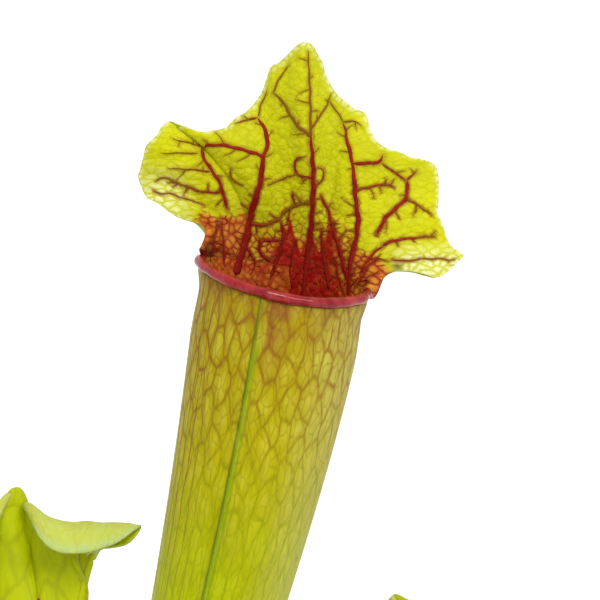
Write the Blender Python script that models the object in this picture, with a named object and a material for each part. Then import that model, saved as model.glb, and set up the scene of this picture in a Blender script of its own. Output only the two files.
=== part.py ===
"""A trumpet pitcher plant in a plain round plastic pot.

The pot stands on Z = 0 with its axis on Z. The tall pitcher's mouth looks towards -Y.
Sizes below are millimetres, and every point is turned into metres as it goes into a mesh.
"""

import math
import random

import bmesh
import bpy
from mathutils import Matrix, Vector, noise

MM = 0.001
FIT_GAP = 0.35  # room between two pieces that touch

# The pot
POT_HEIGHT = 105.0
POT_MOUTH_RADIUS = 60.0
POT_BASE_RADIUS = 45.0
POT_WALL = 1.8
POT_FLOOR = 2.6
POT_BAND_HEIGHT = 15.0
POT_BAND_STEP = 1.8
POT_LIP_RADIUS = 1.0
POT_STEPS = 48
DRAIN_HOLES = 8
DRAIN_RADIUS = 4.0
DRAIN_CIRCLE = 31.0

# The soil and the rhizome in it
SOIL_LEVEL = 92.0
SOIL_BUMP = 1.6
SOIL_STEPS = 32
CROWN_TOP = 98.0
SOCKET_FLOOR = 87.0
RING_RADIUS = 13.5

# What every pitcher shares
WALL = 0.8
LIP_END_DEG = 97.0
LID_END_DEG = LIP_END_DEG + 3.0
FLARE_DEG = 112.0  # where the rim spreads most, on both sides
TRUMPET_POWER = 1.35
KEEL_HALF_WIDTH = 0.32
KEEL_ROOT_HALF_WIDTH = 0.55
RIM_BLEND = 0.88  # share of the length above which the rim's own shape takes over

GREEN = (0.36, 0.44, 0.05, 1.0)
YOUNG_GREEN = (0.30, 0.42, 0.06, 1.0)
PEAT_BROWN = (0.05, 0.03, 0.018, 1.0)
RHIZOME_BROWN = (0.19, 0.09, 0.045, 1.0)
POT_BROWN = (0.43, 0.14, 0.065, 1.0)

# The waved edge of a full-grown lid, from the left end of the lip round to the tip, then from the
# tip down to the right end of the lip. Each point is millimetres right of, behind and above the
# middle of the mouth, then how far the edge rolls back there, from 0 to 1. The first and the last
# point are put on the rim itself.
LID_LEFT = [
    (-12.2, 2.2, 4.0, 0.0),
    (-12.7, 2.3, 5.2, 0.0),
    (-12.3, 2.6, 6.2, 0.0),
    (-12.0, 3.0, 7.1, 0.0),
    (-12.0, 3.5, 7.9, 0.0),
    (-12.2, 4.2, 8.6, 0.0),
    (-13.2, 4.9, 8.9, 0.0),
    (-15.8, 7.4, 9.4, 0.0),
    (-17.3, 8.7, 9.9, 0.0),
    (-18.5, 9.7, 10.7, 0.0),
    (-19.8, 10.7, 11.5, 0.0),
    (-21.2, 11.5, 12.1, 0.0),
    (-21.9, 12.1, 13.4, 0.0),
    (-22.6, 12.5, 15.4, 0.0),
    (-22.2, 12.0, 16.7, 0.0),
    (-21.7, 11.5, 18.7, 0.0),
    (-21.2, 11.2, 20.4, 0.0),
    (-19.5, 11.2, 22.1, 0.0),
    (-19.0, 11.4, 23.1, 0.0),
    (-17.9, 11.9, 24.0, 0.0),
    (-17.1, 11.4, 23.8, 0.0),
    (-16.3, 10.8, 23.2, 0.0),
    (-15.6, 10.4, 23.5, 0.0),
    (-12.9, 9.5, 22.7, 0.0),
    (-11.0, 9.3, 22.8, 0.0),
    (-8.9, 9.7, 23.3, 0.0),
    (-7.8, 10.1, 24.4, 0.0),
    (-5.5, 10.8, 25.9, 0.0),
    (-4.2, 11.3, 27.3, 0.0),
    (-3.1, 11.1, 29.0, 0.0),
    (-2.4, 10.7, 31.1, 0.0),
    (-1.8, 10.3, 32.7, 0.0),
    (-0.5, 9.8, 33.5, 0.0),
    (0.9, 9.1, 34.8, 0.0),
    (2.1, 8.2, 36.1, 0.0),
    (3.1, 7.6, 36.8, 0.0),
]
LID_RIGHT = [
    (3.8, 7.6, 36.7, 0.0),
    (4.6, 7.8, 36.2, 0.0),
    (5.2, 8.2, 35.0, 0.0),
    (6.1, 8.9, 33.4, 0.0),
    (6.4, 9.5, 31.8, 0.0),
    (7.6, 10.4, 29.4, 0.0),
    (8.7, 10.9, 28.0, 0.0),
    (9.9, 11.3, 27.0, 0.0),
    (11.1, 11.9, 26.0, 0.0),
    (12.4, 12.4, 25.5, 0.0),
    (13.1, 12.2, 24.5, 0.0),
    (13.4, 11.7, 23.0, 0.0),
    (14.3, 10.9, 21.3, 0.0),
    (15.6, 10.5, 20.2, 0.0),
    (17.8, 11.0, 19.4, 0.0),
    (18.6, 11.2, 19.2, 0.0),
    (19.2, 11.4, 18.7, 0.0),
    (21.9, 12.3, 18.0, 0.0),
    (23.3, 12.8, 17.3, 0.0),
    (24.1, 12.5, 15.6, 0.0),
    (24.1, 11.3, 11.3, 0.0),
    (23.9, 11.1, 9.8, 0.0),
    (24.6, 11.1, 8.4, 0.0),
    (25.7, 11.2, 5.2, 0.0),
    (26.6, 11.4, 4.1, 0.0),
    (28.1, 11.7, 3.0, 0.0),
    (27.2, 11.1, 2.2, 0.0),
    (26.0, 10.2, 1.1, 0.0),
    (24.7, 9.2, 0.2, 0.0),
    (23.4, 8.3, -0.0, 0.0),
    (21.8, 7.2, 0.7, 0.0),
    (19.0, 5.1, 1.5, 0.0),
    (17.4, 4.2, 1.5, 0.0),
    (16.0, 3.4, 1.1, 0.0),
    (15.0, 2.6, -0.0, 0.0),
    (14.3, 2.2, -1.4, 0.0),
    (13.6, 2.0, -2.1, 0.0),
    (12.6, 2.3, -2.2, 0.0),
]

# The same for the pitcher that is seen from behind, whose lid nods and whose one side rolls back.
REAR_LID_LEFT = [
    (-9.1, 0.0, 1.0, 0.0),
    (-9.2, 3.0, 4.8, 0.0),
    (-9.5, 4.5, 8.6, 0.0),
    (-8.4, 5.0, 12.0, 0.0),
    (-8.6, 4.5, 14.3, 0.0),
    (-13.0, 3.5, 14.5, 0.0),
    (-15.6, 2.0, 15.0, 0.0),
    (-17.2, 0.0, 17.0, 0.0),
    (-14.1, 5.0, 15.6, 0.5),
    (-11.5, 8.0, 15.1, 0.8),
    (-9.2, 10.0, 14.9, 0.9),
    (-6.1, 11.5, 15.2, 1.0),
    (-3.9, 11.5, 16.2, 1.0),
    (-2.2, 9.0, 18.1, 0.8),
    (-0.6, 2.5, 20.4, 0.3),
    (0.9, -2.0, 22.5, 0.0),
]
REAR_LID_RIGHT = [
    (2.2, 1.5, 21.4, 0.4),
    (3.5, 8.0, 19.0, 0.9),
    (5.9, 10.5, 16.6, 1.0),
    (9.4, 9.0, 15.0, 1.0),
    (13.1, 6.0, 14.9, 0.8),
    (16.3, 1.0, 16.9, 0.1),
    (14.8, 2.5, 14.5, 0.0),
    (11.5, 4.0, 13.3, 0.0),
    (8.2, 5.0, 12.0, 0.0),
    (8.0, 4.5, 8.3, 0.0),
    (8.4, 3.0, 4.8, 0.0),
    (9.1, 0.0, 1.0, 0.0),
]

# The pitchers, in the order in which they stand round the crown. base_deg is where the foot
# stands on the crown, mouth is the middle of the mouth, lean is the tube's direction there and
# facing_deg the way the mouth looks, both angles from +X towards +Y.
TALL = dict(
    name="pitcher_tall",
    base_deg=65.0,
    mouth=(44.0, 14.0, 303.0),
    lean=(0.15, 0.0, 0.99),
    start_lean=-0.06,
    facing_deg=-102.5,
    radius=13.3,
    foot_radius=3.1,
    keel=2.0,
    lip=0.8,
    neck=0.05,
    rim_dip=1.2,
    rim_lift=1.2,
    rim_tilt=-0.65,
    rim_twist=-0.2,
    flare=(1.6, 0.8),
    outline=(LID_LEFT, LID_RIGHT),
    measured_deg=-90.0,
    lid_scale=(1.0, 1.0),
    spring=1.0,
    nod_deg=0.0,
    curl=0.0,
    mirrored=False,
    ruffle=0.0,
    lid_columns=33,
    side_columns=3,
    tube_rows=12,
    lid_rows=8,
    inner_rows=7,
)
REAR_VIEW = dict(
    TALL,
    name="pitcher_front_left",
    base_deg=245.0,
    mouth=(6.1, -28.0, 256.1),
    lean=(0.0, -0.12, 0.99),
    start_lean=0.05,
    facing_deg=106.0,
    radius=9.2,
    foot_radius=2.8,
    lip=0.75,
    neck=0.015,
    rim_dip=2.6,
    rim_lift=1.0,
    rim_tilt=0.3,
    rim_twist=0.0,
    flare=(0.0, 0.6),
    outline=(REAR_LID_LEFT, REAR_LID_RIGHT),
    measured_deg=90.0,
    spring=2.5,
    lid_columns=25,
    side_columns=2,
    tube_rows=10,
    lid_rows=7,
    inner_rows=6,
)


def shorter(name, base_deg, mouth, lean, facing_deg, radius, scale, nod_deg, mirrored):
    """One of the smaller open pitchers, which differ in size, lean and lid alone."""
    return dict(
        REAR_VIEW,
        name=name,
        base_deg=base_deg,
        mouth=mouth,
        lean=lean,
        facing_deg=facing_deg,
        radius=radius,
        foot_radius=2.6,
        lip=0.7,
        rim_dip=2.4,
        flare=(0.6, 0.6),
        outline=(LID_LEFT, LID_RIGHT),
        measured_deg=None,
        spring=1.0,
        lid_scale=scale,
        nod_deg=nod_deg,
        curl=2.0,
        mirrored=mirrored,
        ruffle=1.2,
        lid_columns=17,
        side_columns=2,
        tube_rows=8,
        lid_rows=5,
        inner_rows=4,
    )


PITCHERS = [
    TALL,
    REAR_VIEW,
    shorter("pitcher_right", -25.0, (58.5, -21.0, 239.9), (0.2, -0.08, 0.97), 155.0, 9.2, (0.7, 0.72), 38.0, False),
    shorter("pitcher_back_right", 20.0, (60.0, 30.0, 205.0), (0.26, 0.12, 0.96), 205.0, 8.4, (0.64, 0.68), 25.0, True),
    shorter("pitcher_back", 110.0, (-6.0, 50.0, 212.0), (-0.02, 0.22, 0.97), -85.0, 8.8, (0.68, 0.7), 30.0, False),
    shorter("pitcher_back_left", 155.0, (-45.0, 30.0, 222.0), (-0.2, 0.12, 0.97), -40.0, 9.0, (0.68, 0.72), 35.0, True),
    shorter("pitcher_left", 200.0, (-58.0, -16.0, 190.0), (-0.27, -0.08, 0.96), 20.0, 8.2, (0.62, 0.64), 28.0, False),
    shorter("pitcher_front", 290.0, (24.0, -52.0, 184.0), (0.1, -0.25, 0.96), 112.0, 8.0, (0.62, 0.64), 32.0, True),
]

# Young pitchers, still shut: foot, tip and the way the folded lid's beak points.
YOUNG = [
    dict(name="young_pitcher_1", foot=(-3.2, 1.6), tip=(-17.0, 9.0, 226.0), facing_deg=-30.0, radius=4.6),
    dict(name="young_pitcher_2", foot=(4.2, -1.2), tip=(10.0, -13.0, 158.0), facing_deg=120.0, radius=3.6),
]
YOUNG_COLUMNS = 14
YOUNG_FOOT_RADIUS = 2.2

# Lumps that make up the crown and the older rhizome behind it: centre, then radii.
CROWN_LUMPS = [
    ((0.0, 0.0, 87.0), (18.0, 17.5, 11.0)),
    ((11.5, 3.0, 87.5), (10.0, 9.5, 9.0)),
    ((-10.0, 9.0, 87.5), (10.5, 9.5, 8.6)),
    ((-8.5, -10.0, 87.5), (10.5, 9.0, 8.2)),
    ((7.5, -12.0, 87.0), (10.0, 8.5, 8.4)),
    ((6.0, 13.0, 87.0), (10.0, 8.0, 8.2)),
    ((-24.0, 2.0, 86.0), (11.0, 6.5, 6.6)),
]
# Roots, each from the crown's underside outwards and down.
ROOT_DIRECTIONS_DEG = (15.0, 75.0, 130.0, 190.0, 250.0, 310.0)
ROOT_START_RADIUS = 1.6
ROOT_END_RADIUS = 0.7
ROOT_REACH = 26.0
ROOT_END_HEIGHT = 26.0


def smooth(x):
    """A smooth step from 0 to 1 as x goes from 0 to 1."""
    x = min(1.0, max(0.0, x))
    return x * x * (3.0 - 2.0 * x)


def heading(degrees):
    """The level unit vector at this angle from +X."""
    return Vector((math.cos(math.radians(degrees)), math.sin(math.radians(degrees)), 0.0))


def new_material(name, colour, roughness):
    material = bpy.data.materials.new(name)
    material.use_nodes = True
    shader = material.node_tree.nodes["Principled BSDF"]
    shader.inputs["Base Color"].default_value = colour
    shader.inputs["Roughness"].default_value = roughness
    shader.inputs["Metallic"].default_value = 0.0
    return material


def new_object(name, mesh_builder, material, collection):
    """Turns a bmesh in millimetres into an object in metres."""
    bmesh.ops.scale(mesh_builder, vec=(MM, MM, MM), verts=mesh_builder.verts)
    mesh = bpy.data.meshes.new(name)
    mesh_builder.to_mesh(mesh)
    mesh_builder.free()
    mesh.shade_smooth()
    mesh.set_sharp_from_angle(angle=math.radians(50.0))
    mesh.materials.append(material)
    made = bpy.data.objects.new(name, mesh)
    collection.objects.link(made)
    return made


def closed_grid(columns, rows, place, turn_row):
    """A grid wrapped into a closed skin. Rows below turn_row are the outer face, the rest the inner.

    Both faces are split into triangles along the same diagonal, so a thin wall never crosses itself.
    """
    built = bmesh.new()
    bmesh.ops.create_grid(built, x_segments=columns, y_segments=rows - 1, size=0.5)
    outer, inner = [], []
    for face in built.faces:
        height = (face.calc_center_median().y + 0.5) * (rows - 1)
        (outer if height < turn_row else inner).append(face)
    for vertex in built.verts:
        column = round((vertex.co.x + 0.5) * columns) % columns
        vertex.co = place(column, round((vertex.co.y + 0.5) * (rows - 1)))
    bmesh.ops.triangulate(built, faces=outer, quad_method="FIXED")
    bmesh.ops.triangulate(built, faces=inner, quad_method="ALTERNATE")
    bmesh.ops.remove_doubles(built, verts=built.verts, dist=0.002)
    bmesh.ops.dissolve_degenerate(built, edges=built.edges, dist=0.001)
    ends = bmesh.ops.holes_fill(built, edges=built.edges, sides=0)["faces"]
    bmesh.ops.triangulate(built, faces=ends)
    bmesh.ops.recalc_face_normals(built, faces=built.faces)
    return built


# The shape of one open pitcher. Its skin is one sheet: the tube below, the rolled lip in front and
# the lid behind. theta is the angle round the tube from the keel, s the share of the tube's length.


def foot_of(pitcher):
    ring = heading(pitcher["base_deg"]) * RING_RADIUS
    return Vector((ring.x, ring.y, SOCKET_FLOOR + FIT_GAP))


def axis_frame(pitcher, s):
    """Centre, tangent, front and side of the tube at s, along a curve that leaves the crown upright."""
    foot, mouth = foot_of(pitcher), Vector(pitcher["mouth"])
    lean = Vector(pitcher["lean"]).normalized()
    reach = (mouth - foot).length / 3.0
    outward = (mouth - foot) * Vector((1.0, 1.0, 0.0))
    start = (Vector((0.0, 0.0, 1.0)) + outward.normalized() * pitcher["start_lean"]).normalized()
    first, last = foot + start * reach, mouth - lean * reach
    back = 1.0 - s
    centre = foot * back**3 + first * 3 * back * back * s + last * 3 * back * s * s + mouth * s**3
    tangent = (first - foot) * back * back + (last - first) * 2 * back * s + (mouth - last) * s * s
    tangent.normalize()
    front = heading(pitcher["facing_deg"])
    front = (front - tangent * front.dot(tangent)).normalized()
    return centre, tangent, front, tangent.cross(front)


def tube_radius(pitcher, s):
    """A slim foot that widens into a trumpet, drawn in a little just under the lip."""
    full, foot = pitcher["radius"], pitcher["foot_radius"]
    grown = foot + (full - foot) * (1.0 - (1.0 - s * s) ** TRUMPET_POWER)
    return grown - pitcher["neck"] * full * smooth((s - 0.95) / 0.05)


def rim_rise(pitcher, theta):
    """How far the rim lies above the plain end of the tube: it dips at the front."""
    dip = pitcher["rim_dip"] * max(0.0, math.cos(theta)) ** 1.2
    turn = pitcher["rim_tilt"] * math.sin(theta) + pitcher["rim_twist"] * math.sin(2 * theta)
    return pitcher["rim_lift"] + turn - dip


def rim_spread(pitcher, theta):
    """How far the rim is drawn outwards beside the two ends of the lip."""
    spread = 0.0
    for flare, side in zip(pitcher["flare"], (-1.0, 1.0)):
        from_end = math.remainder(theta - side * math.radians(FLARE_DEG), math.tau) / math.radians(34.0)
        spread += flare * math.exp(-from_end * from_end)
    return spread


def tube_point(pitcher, theta, s, inset, drop=0.0, out=0.0):
    """A point of the tube's wall. inset is measured inwards from the outer skin, and drop down."""
    centre, tangent, front, side = axis_frame(pitcher, s)
    radius = tube_radius(pitcher, s) - inset + out
    radius += rim_spread(pitcher, theta) * smooth((s - 0.982) / 0.018)
    rise = (rim_rise(pitcher, theta) - drop) * smooth((s - RIM_BLEND) / (1.0 - RIM_BLEND))
    return centre + (front * math.cos(theta) + side * math.sin(theta)) * radius + tangent * rise


def lid_outline(pitcher):
    """The lid's edge about the middle of the mouth, left half first, and the tip's place in it."""
    wide, tall = pitcher["lid_scale"]
    phase = random.Random(pitcher["name"]).uniform(0.0, math.tau)

    def shaped(point):
        x, back, up, roll = point
        x *= -1.0 if pitcher["mirrored"] else 1.0
        side_share = min(1.0, abs(x) / 20.0)
        wave = pitcher["ruffle"] * math.sin(phase + 0.42 * up + 0.28 * x) * side_share
        back = back * wide + wave + pitcher["curl"] * side_share
        fall = 0.6 * pitcher["curl"] * side_share
        bent = nodded(pitcher, Vector((x * wide, back, up * tall - fall)))
        return Vector((*bent, roll))

    left, right = (list(half) for half in pitcher["outline"])
    if pitcher["mirrored"]:
        left, right = right[::-1] + [left[-1]], left[-2::-1]
    outline = [shaped(p) for p in left + right]
    for end, side in ((0, -1.0), (-1, 1.0)):
        start = tube_point(pitcher, side * math.radians(LID_END_DEG), 1.0, WALL / 2)
        on_rim = start + axis_frame(pitcher, 1.0)[1] * 0.4 - Vector(pitcher["mouth"])
        outline[end] = Vector((*(on_rim.dot(axis) for axis in lid_axes(pitcher)), 0.0))
    return outline, len(left) - 1


def nodded(pitcher, point):
    """Bends a lid's point forwards over the mouth, on an arc that starts at the back of the rim."""
    nod = math.radians(pitcher["nod_deg"])
    if nod == 0.0 or point.z <= 0.0:
        return point
    tall = 37.0 * pitcher["lid_scale"][1]
    arc = tall / nod
    angle = point.z / arc
    depth = point.y - pitcher["radius"]
    back = pitcher["radius"] - arc * (1.0 - math.cos(angle)) + depth * math.cos(angle)
    return Vector((point.x, back, (arc + depth) * math.sin(angle)))


def edge_point(outline, tip_index, along):
    """The lid's edge at along, -1 at the left end of the lip, 0 at the tip, 1 at the right end."""
    half = outline[: tip_index + 1] if along <= 0.0 else outline[tip_index:]
    share = along + 1.0 if along <= 0.0 else along
    lengths = [0.0]
    for a, b in zip(half, half[1:]):
        lengths.append(lengths[-1] + (b - a).length)
    target = share * lengths[-1]
    k = 0
    while k < len(half) - 2 and lengths[k + 1] < target:
        k += 1
    t = (target - lengths[k]) / (lengths[k + 1] - lengths[k])
    before = half[max(0, k - 1)]
    after = half[min(len(half) - 1, k + 2)]
    p, q = half[k], half[k + 1]
    tangent_p, tangent_q = (q - before) * 0.5, (after - p) * 0.5
    return hermite(p, tangent_p, q, tangent_q, t)


def hermite(p, leave, q, arrive, t):
    t2, t3 = t * t, t * t * t
    return (
        p * (2 * t3 - 3 * t2 + 1)
        + leave * (t3 - 2 * t2 + t)
        + q * (3 * t2 - 2 * t3)
        + arrive * (t3 - t2)
    )


def lid_axes(pitcher):
    """Right, back and up of the lid: the pitcher's own, or level ones where it was measured so."""
    if pitcher["measured_deg"] is None:
        _, tangent, front, side = axis_frame(pitcher, 1.0)
        return side, -front, tangent
    front = heading(pitcher["measured_deg"])
    return Vector((0, 0, 1)).cross(front), -front, Vector((0, 0, 1))


class Lid:
    """The lid's middle surface: lines that leave the back of the rim upwards and fan out to its edge."""

    def __init__(self, pitcher):
        self.pitcher = pitcher
        self.outline, self.tip_index = lid_outline(pitcher)
        self.axes = lid_axes(pitcher)
        self.mouth = Vector(pitcher["mouth"])

    def theta(self, along):
        return math.pi - along * (math.pi - math.radians(LID_END_DEG))

    def place(self, local):
        right, back, up = self.axes
        return self.mouth + right * local.x + back * local.y + up * local.z

    def point(self, along, t):
        theta = self.theta(along)
        start = tube_point(self.pitcher, theta, 1.0, WALL / 2)
        centre, tangent, front, side = axis_frame(self.pitcher, 1.0)
        radial = front * math.cos(theta) + side * math.sin(theta)
        edge = edge_point(self.outline, self.tip_index, along)
        roll, local = max(0.0, min(1.0, edge.w)), edge.to_3d()
        end = self.place(local)
        reach = (end - start).length
        spring = (self.pitcher["spring"] - 1.0) * (1.0 - roll) * smooth(abs(local.x) / 9.0)
        leave = (tangent + radial * 0.12).normalized() * reach * (1.0 + spring)
        right, back, up = self.axes
        middle = 0.45 * 37.0 * self.pitcher["lid_scale"][1]
        outward = (right * local.x + up * (local.z - middle)).normalized()
        outward = (outward + back * (0.35 + 0.12 * self.pitcher["curl"])).normalized() * reach
        rolled = (back * 0.9 - up * 1.0 + right * math.copysign(0.3, local.x)) * (2.4 * reach)
        arrive = outward.lerp(rolled, roll)
        return hermite(start, leave, end, arrive, t)

    def normal(self, along, t):
        """The unit normal towards the lid's back face."""
        step = 0.01
        a0, a1 = max(-1.0, along - step), min(1.0, along + step)
        t0, t1 = max(0.0, t - step), min(1.0, t + step)
        across = self.point(a1, t) - self.point(a0, t)
        upward = self.point(along, t1) - self.point(along, t0)
        if upward.length < 1e-6:
            upward = axis_frame(self.pitcher, 1.0)[1]
        return upward.cross(across).normalized()


def lip_point(pitcher, theta, share):
    """The lip's rolled bead in section: share runs from under it, round its outside, to the inner wall."""
    near_end = smooth((math.radians(LIP_END_DEG) - abs(theta)) / math.radians(14.0))
    bead = WALL * 0.5 + (pitcher["lip"] - WALL * 0.5) * near_end
    angle = math.radians(-125.0 + share * 330.0)
    centre, tangent, front, side = axis_frame(pitcher, 1.0)
    radial = front * math.cos(theta) + side * math.sin(theta)
    middle = tube_point(pitcher, theta, 1.0, WALL / 2) + radial * 0.5 * bead
    return middle + (radial * math.cos(angle) + tangent * math.sin(angle)) * bead


def pitcher_columns(pitcher):
    """Where the skin's columns stand: (kind, angle or place along the lid, keel's side offset, keel share)."""
    keel = [
        ("front", 0.0, KEEL_HALF_WIDTH, 1.0),
        ("front", 0.0, KEEL_ROOT_HALF_WIDTH, 0.0),
    ]
    count = pitcher["side_columns"]
    sides = [("front", math.radians(LIP_END_DEG) * k / (count + 0.6), 0.0, 0.0) for k in range(1, count + 1)]
    lids = []
    for k in range(pitcher["lid_columns"]):
        lids.append(("lid", 1.0 - 2.0 * k / (pitcher["lid_columns"] - 1), 0.0, 0.0))
    mirrored = [(kind, -angle, -offset, share) for kind, angle, offset, share in (keel + sides)[::-1]]
    return keel + sides + lids + mirrored


def keel_height(pitcher, s):
    return 0.4 + pitcher["keel"] * math.sin(math.pi * min(1.0, s) ** 0.8) ** 0.7


def build_pitcher(pitcher, material, collection):
    lid = Lid(pitcher)
    columns = pitcher_columns(pitcher)
    tube_rows, lid_rows, inner_rows = (pitcher[k] for k in ("tube_rows", "lid_rows", "inner_rows"))
    lip_drop = pitcher["lip"] * 1.15

    def angle_of(column, s):
        kind, value, offset, _ = column
        if kind == "lid":
            return lid.theta(value)
        return value + math.asin(max(-1.0, min(1.0, offset / tube_radius(pitcher, s))))

    def place(index, row):
        column = columns[index]
        kind, value, _, keel_share = column
        if row < tube_rows:
            s = 1.0 - (1.0 - row / (tube_rows - 1)) ** 1.6
            drop = lip_drop if kind == "front" else 0.0
            raised = keel_share * keel_height(pitcher, s)
            return tube_point(pitcher, angle_of(column, s), s, 0.0, drop, raised)
        row -= tube_rows
        if row < 2 * lid_rows:
            if kind == "front":
                return lip_point(pitcher, angle_of(column, 1.0), (row + 0.5) / (2 * lid_rows))
            behind = row < lid_rows
            t = (row + 1 if behind else 2 * lid_rows - row) / lid_rows
            half_wall = WALL / 2 * (1.0 if behind else -1.0)
            return lid.point(value, t) + lid.normal(value, t) * half_wall
        row -= 2 * lid_rows
        s = 1.0 - 0.97 * (row / inner_rows) ** 1.5
        drop = lip_drop if kind == "front" else 0.0
        return tube_point(pitcher, angle_of(column, s), s, WALL, drop)

    built = closed_grid(len(columns), tube_rows + 2 * lid_rows + inner_rows, place, tube_rows + lid_rows - 0.5)
    return new_object(pitcher["name"], built, material, collection)


def young_foot(young):
    return Vector((*young["foot"], SOCKET_FLOOR + FIT_GAP))


def build_young_pitcher(young, material, collection):
    """A shut pitcher: a slim tube that swells, pinches in at the neck and ends in a folded beak."""
    foot, tip = young_foot(young), Vector(young["tip"])
    upward = (tip - foot).normalized()
    beak = heading(young["facing_deg"])
    sections = [
        (0.0, 0.48, 1.0),
        (0.15, 0.52, 1.0),
        (0.35, 0.66, 1.0),
        (0.55, 0.86, 0.98),
        (0.72, 1.0, 0.9),
        (0.82, 0.92, 0.78),
        (0.87, 0.80, 0.66),
        (0.91, 0.95, 0.5),
        (0.955, 0.72, 0.38),
        (0.985, 0.36, 0.45),
        (1.0, 0.12, 0.8),
    ]
    rows = len(sections)

    def place(column, row):
        s, swell, flat = sections[row]
        bow = math.sin(math.pi * s) ** 2 * 0.03 * (tip - foot).length
        outward = (tip - foot) * Vector((1.0, 1.0, 0.0))
        centre = foot.lerp(tip, s) - outward.normalized() * bow
        front = (beak - upward * beak.dot(upward)).normalized()
        side = upward.cross(front)
        nod = smooth((s - 0.86) / 0.14) * young["radius"] * 1.1
        angle = math.tau * column / YOUNG_COLUMNS
        radius = max(young["radius"] * swell, YOUNG_FOOT_RADIUS if s < 0.2 else 0.0)
        keel = 0.35 * young["radius"] if column == 0 and 0.3 < s < 0.85 else 0.0
        return centre + front * (math.cos(angle) * (radius + keel) + nod) + side * math.sin(angle) * radius * flat

    built = closed_grid(YOUNG_COLUMNS, rows, place, rows)
    return new_object(young["name"], built, material, collection)


# The pot, its soil and the rhizome


def turned(profile, steps):
    """Spins a profile of (radius, height) points from the bottom of the axis to its top."""
    built = bmesh.new()
    corners = [built.verts.new((radius, 0.0, height)) for radius, height in profile]
    chain = [built.edges.new(pair) for pair in zip(corners, corners[1:])]
    bmesh.ops.spin(
        built,
        geom=corners + chain,
        cent=(0.0, 0.0, 0.0),
        axis=(0.0, 0.0, 1.0),
        angle=math.tau,
        steps=steps,
        use_merge=True,
    )
    bmesh.ops.remove_doubles(built, verts=built.verts, dist=0.001)
    bmesh.ops.recalc_face_normals(built, faces=built.faces)
    return built


def pot_outer_radius(height):
    return POT_BASE_RADIUS + (POT_MOUTH_RADIUS - POT_BAND_STEP - POT_BASE_RADIUS) * height / POT_HEIGHT


def build_pot(material, collection, cutters):
    band_foot = POT_HEIGHT - POT_BAND_HEIGHT
    inner_top = pot_outer_radius(POT_HEIGHT) - POT_WALL
    profile = [
        (0.0, 0.0),
        (POT_BASE_RADIUS - 1.2, 0.0),
        (POT_BASE_RADIUS, 1.2),
        (pot_outer_radius(band_foot), band_foot),
        (POT_MOUTH_RADIUS - 0.6, band_foot + 0.4),
        (POT_MOUTH_RADIUS - 0.3, band_foot + 1.2),
        (POT_MOUTH_RADIUS, POT_HEIGHT - POT_LIP_RADIUS),
        (POT_MOUTH_RADIUS - POT_LIP_RADIUS, POT_HEIGHT),
        (inner_top + POT_LIP_RADIUS, POT_HEIGHT),
        (inner_top, POT_HEIGHT - POT_LIP_RADIUS),
        (pot_outer_radius(POT_FLOOR + 1.5) - POT_WALL, POT_FLOOR + 1.5),
        (pot_outer_radius(POT_FLOOR) - POT_WALL - 1.5, POT_FLOOR),
        (0.0, POT_FLOOR),
    ]
    pot = new_object("pot", turned(profile, POT_STEPS), material, collection)
    for k in range(DRAIN_HOLES):
        angle = math.tau * (k + 0.5) / DRAIN_HOLES
        drill = bmesh.new()
        bmesh.ops.create_cone(
            drill,
            cap_ends=True,
            segments=12,
            radius1=DRAIN_RADIUS,
            radius2=DRAIN_RADIUS,
            depth=4 * POT_FLOOR,
            matrix=Matrix.Translation((DRAIN_CIRCLE * math.cos(angle), DRAIN_CIRCLE * math.sin(angle), 0.0)),
        )
        new_object(f"drain_drill_{k}", drill, material, cutters)
    drill_holes = pot.modifiers.new("drain holes", "BOOLEAN")
    drill_holes.operation = "DIFFERENCE"
    drill_holes.operand_type = "COLLECTION"
    drill_holes.collection = cutters
    return pot


def soil_top(x, y):
    """The height of the soil's surface: a low mound round the crown, with small bumps."""
    away = math.hypot(x, y)
    mound = 1.4 * (1.0 - smooth(away / 50.0))
    return SOIL_LEVEL + mound + SOIL_BUMP * noise.noise(Vector((x, y, 0.0)) / 11.0)


def build_soil(material, collection, crown_room):
    base = POT_FLOOR + FIT_GAP
    rings = (50.0, 41.0, 32.0, 24.0, 14.0)
    wall_gap = POT_WALL + FIT_GAP + 0.1
    profile = [(0.0, base), (pot_outer_radius(base) - wall_gap - 1.6, base)]
    profile.append((pot_outer_radius(base + 2.0) - wall_gap, base + 2.0))
    profile.append((pot_outer_radius(SOIL_LEVEL) - wall_gap, SOIL_LEVEL))
    profile += [(ring, SOIL_LEVEL) for ring in rings] + [(0.0, SOIL_LEVEL)]
    built = turned(profile, SOIL_STEPS)
    for vertex in built.verts:
        if vertex.co.z > SOIL_LEVEL - 0.01:
            vertex.co.z = soil_top(vertex.co.x, vertex.co.y)
    bmesh.ops.triangulate(built, faces=built.faces)
    soil = new_object("soil", built, material, collection)
    make_room = soil.modifiers.new("room for the rhizome", "BOOLEAN")
    make_room.operation = "DIFFERENCE"
    make_room.object = crown_room
    return soil


def lump(centre, radii, grow):
    built = bmesh.new()
    size = Matrix.Diagonal((*(r + grow for r in radii), 1.0))
    bmesh.ops.create_uvsphere(
        built, u_segments=12, v_segments=7, radius=1.0, matrix=Matrix.Translation(centre) @ size
    )
    return built


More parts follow.
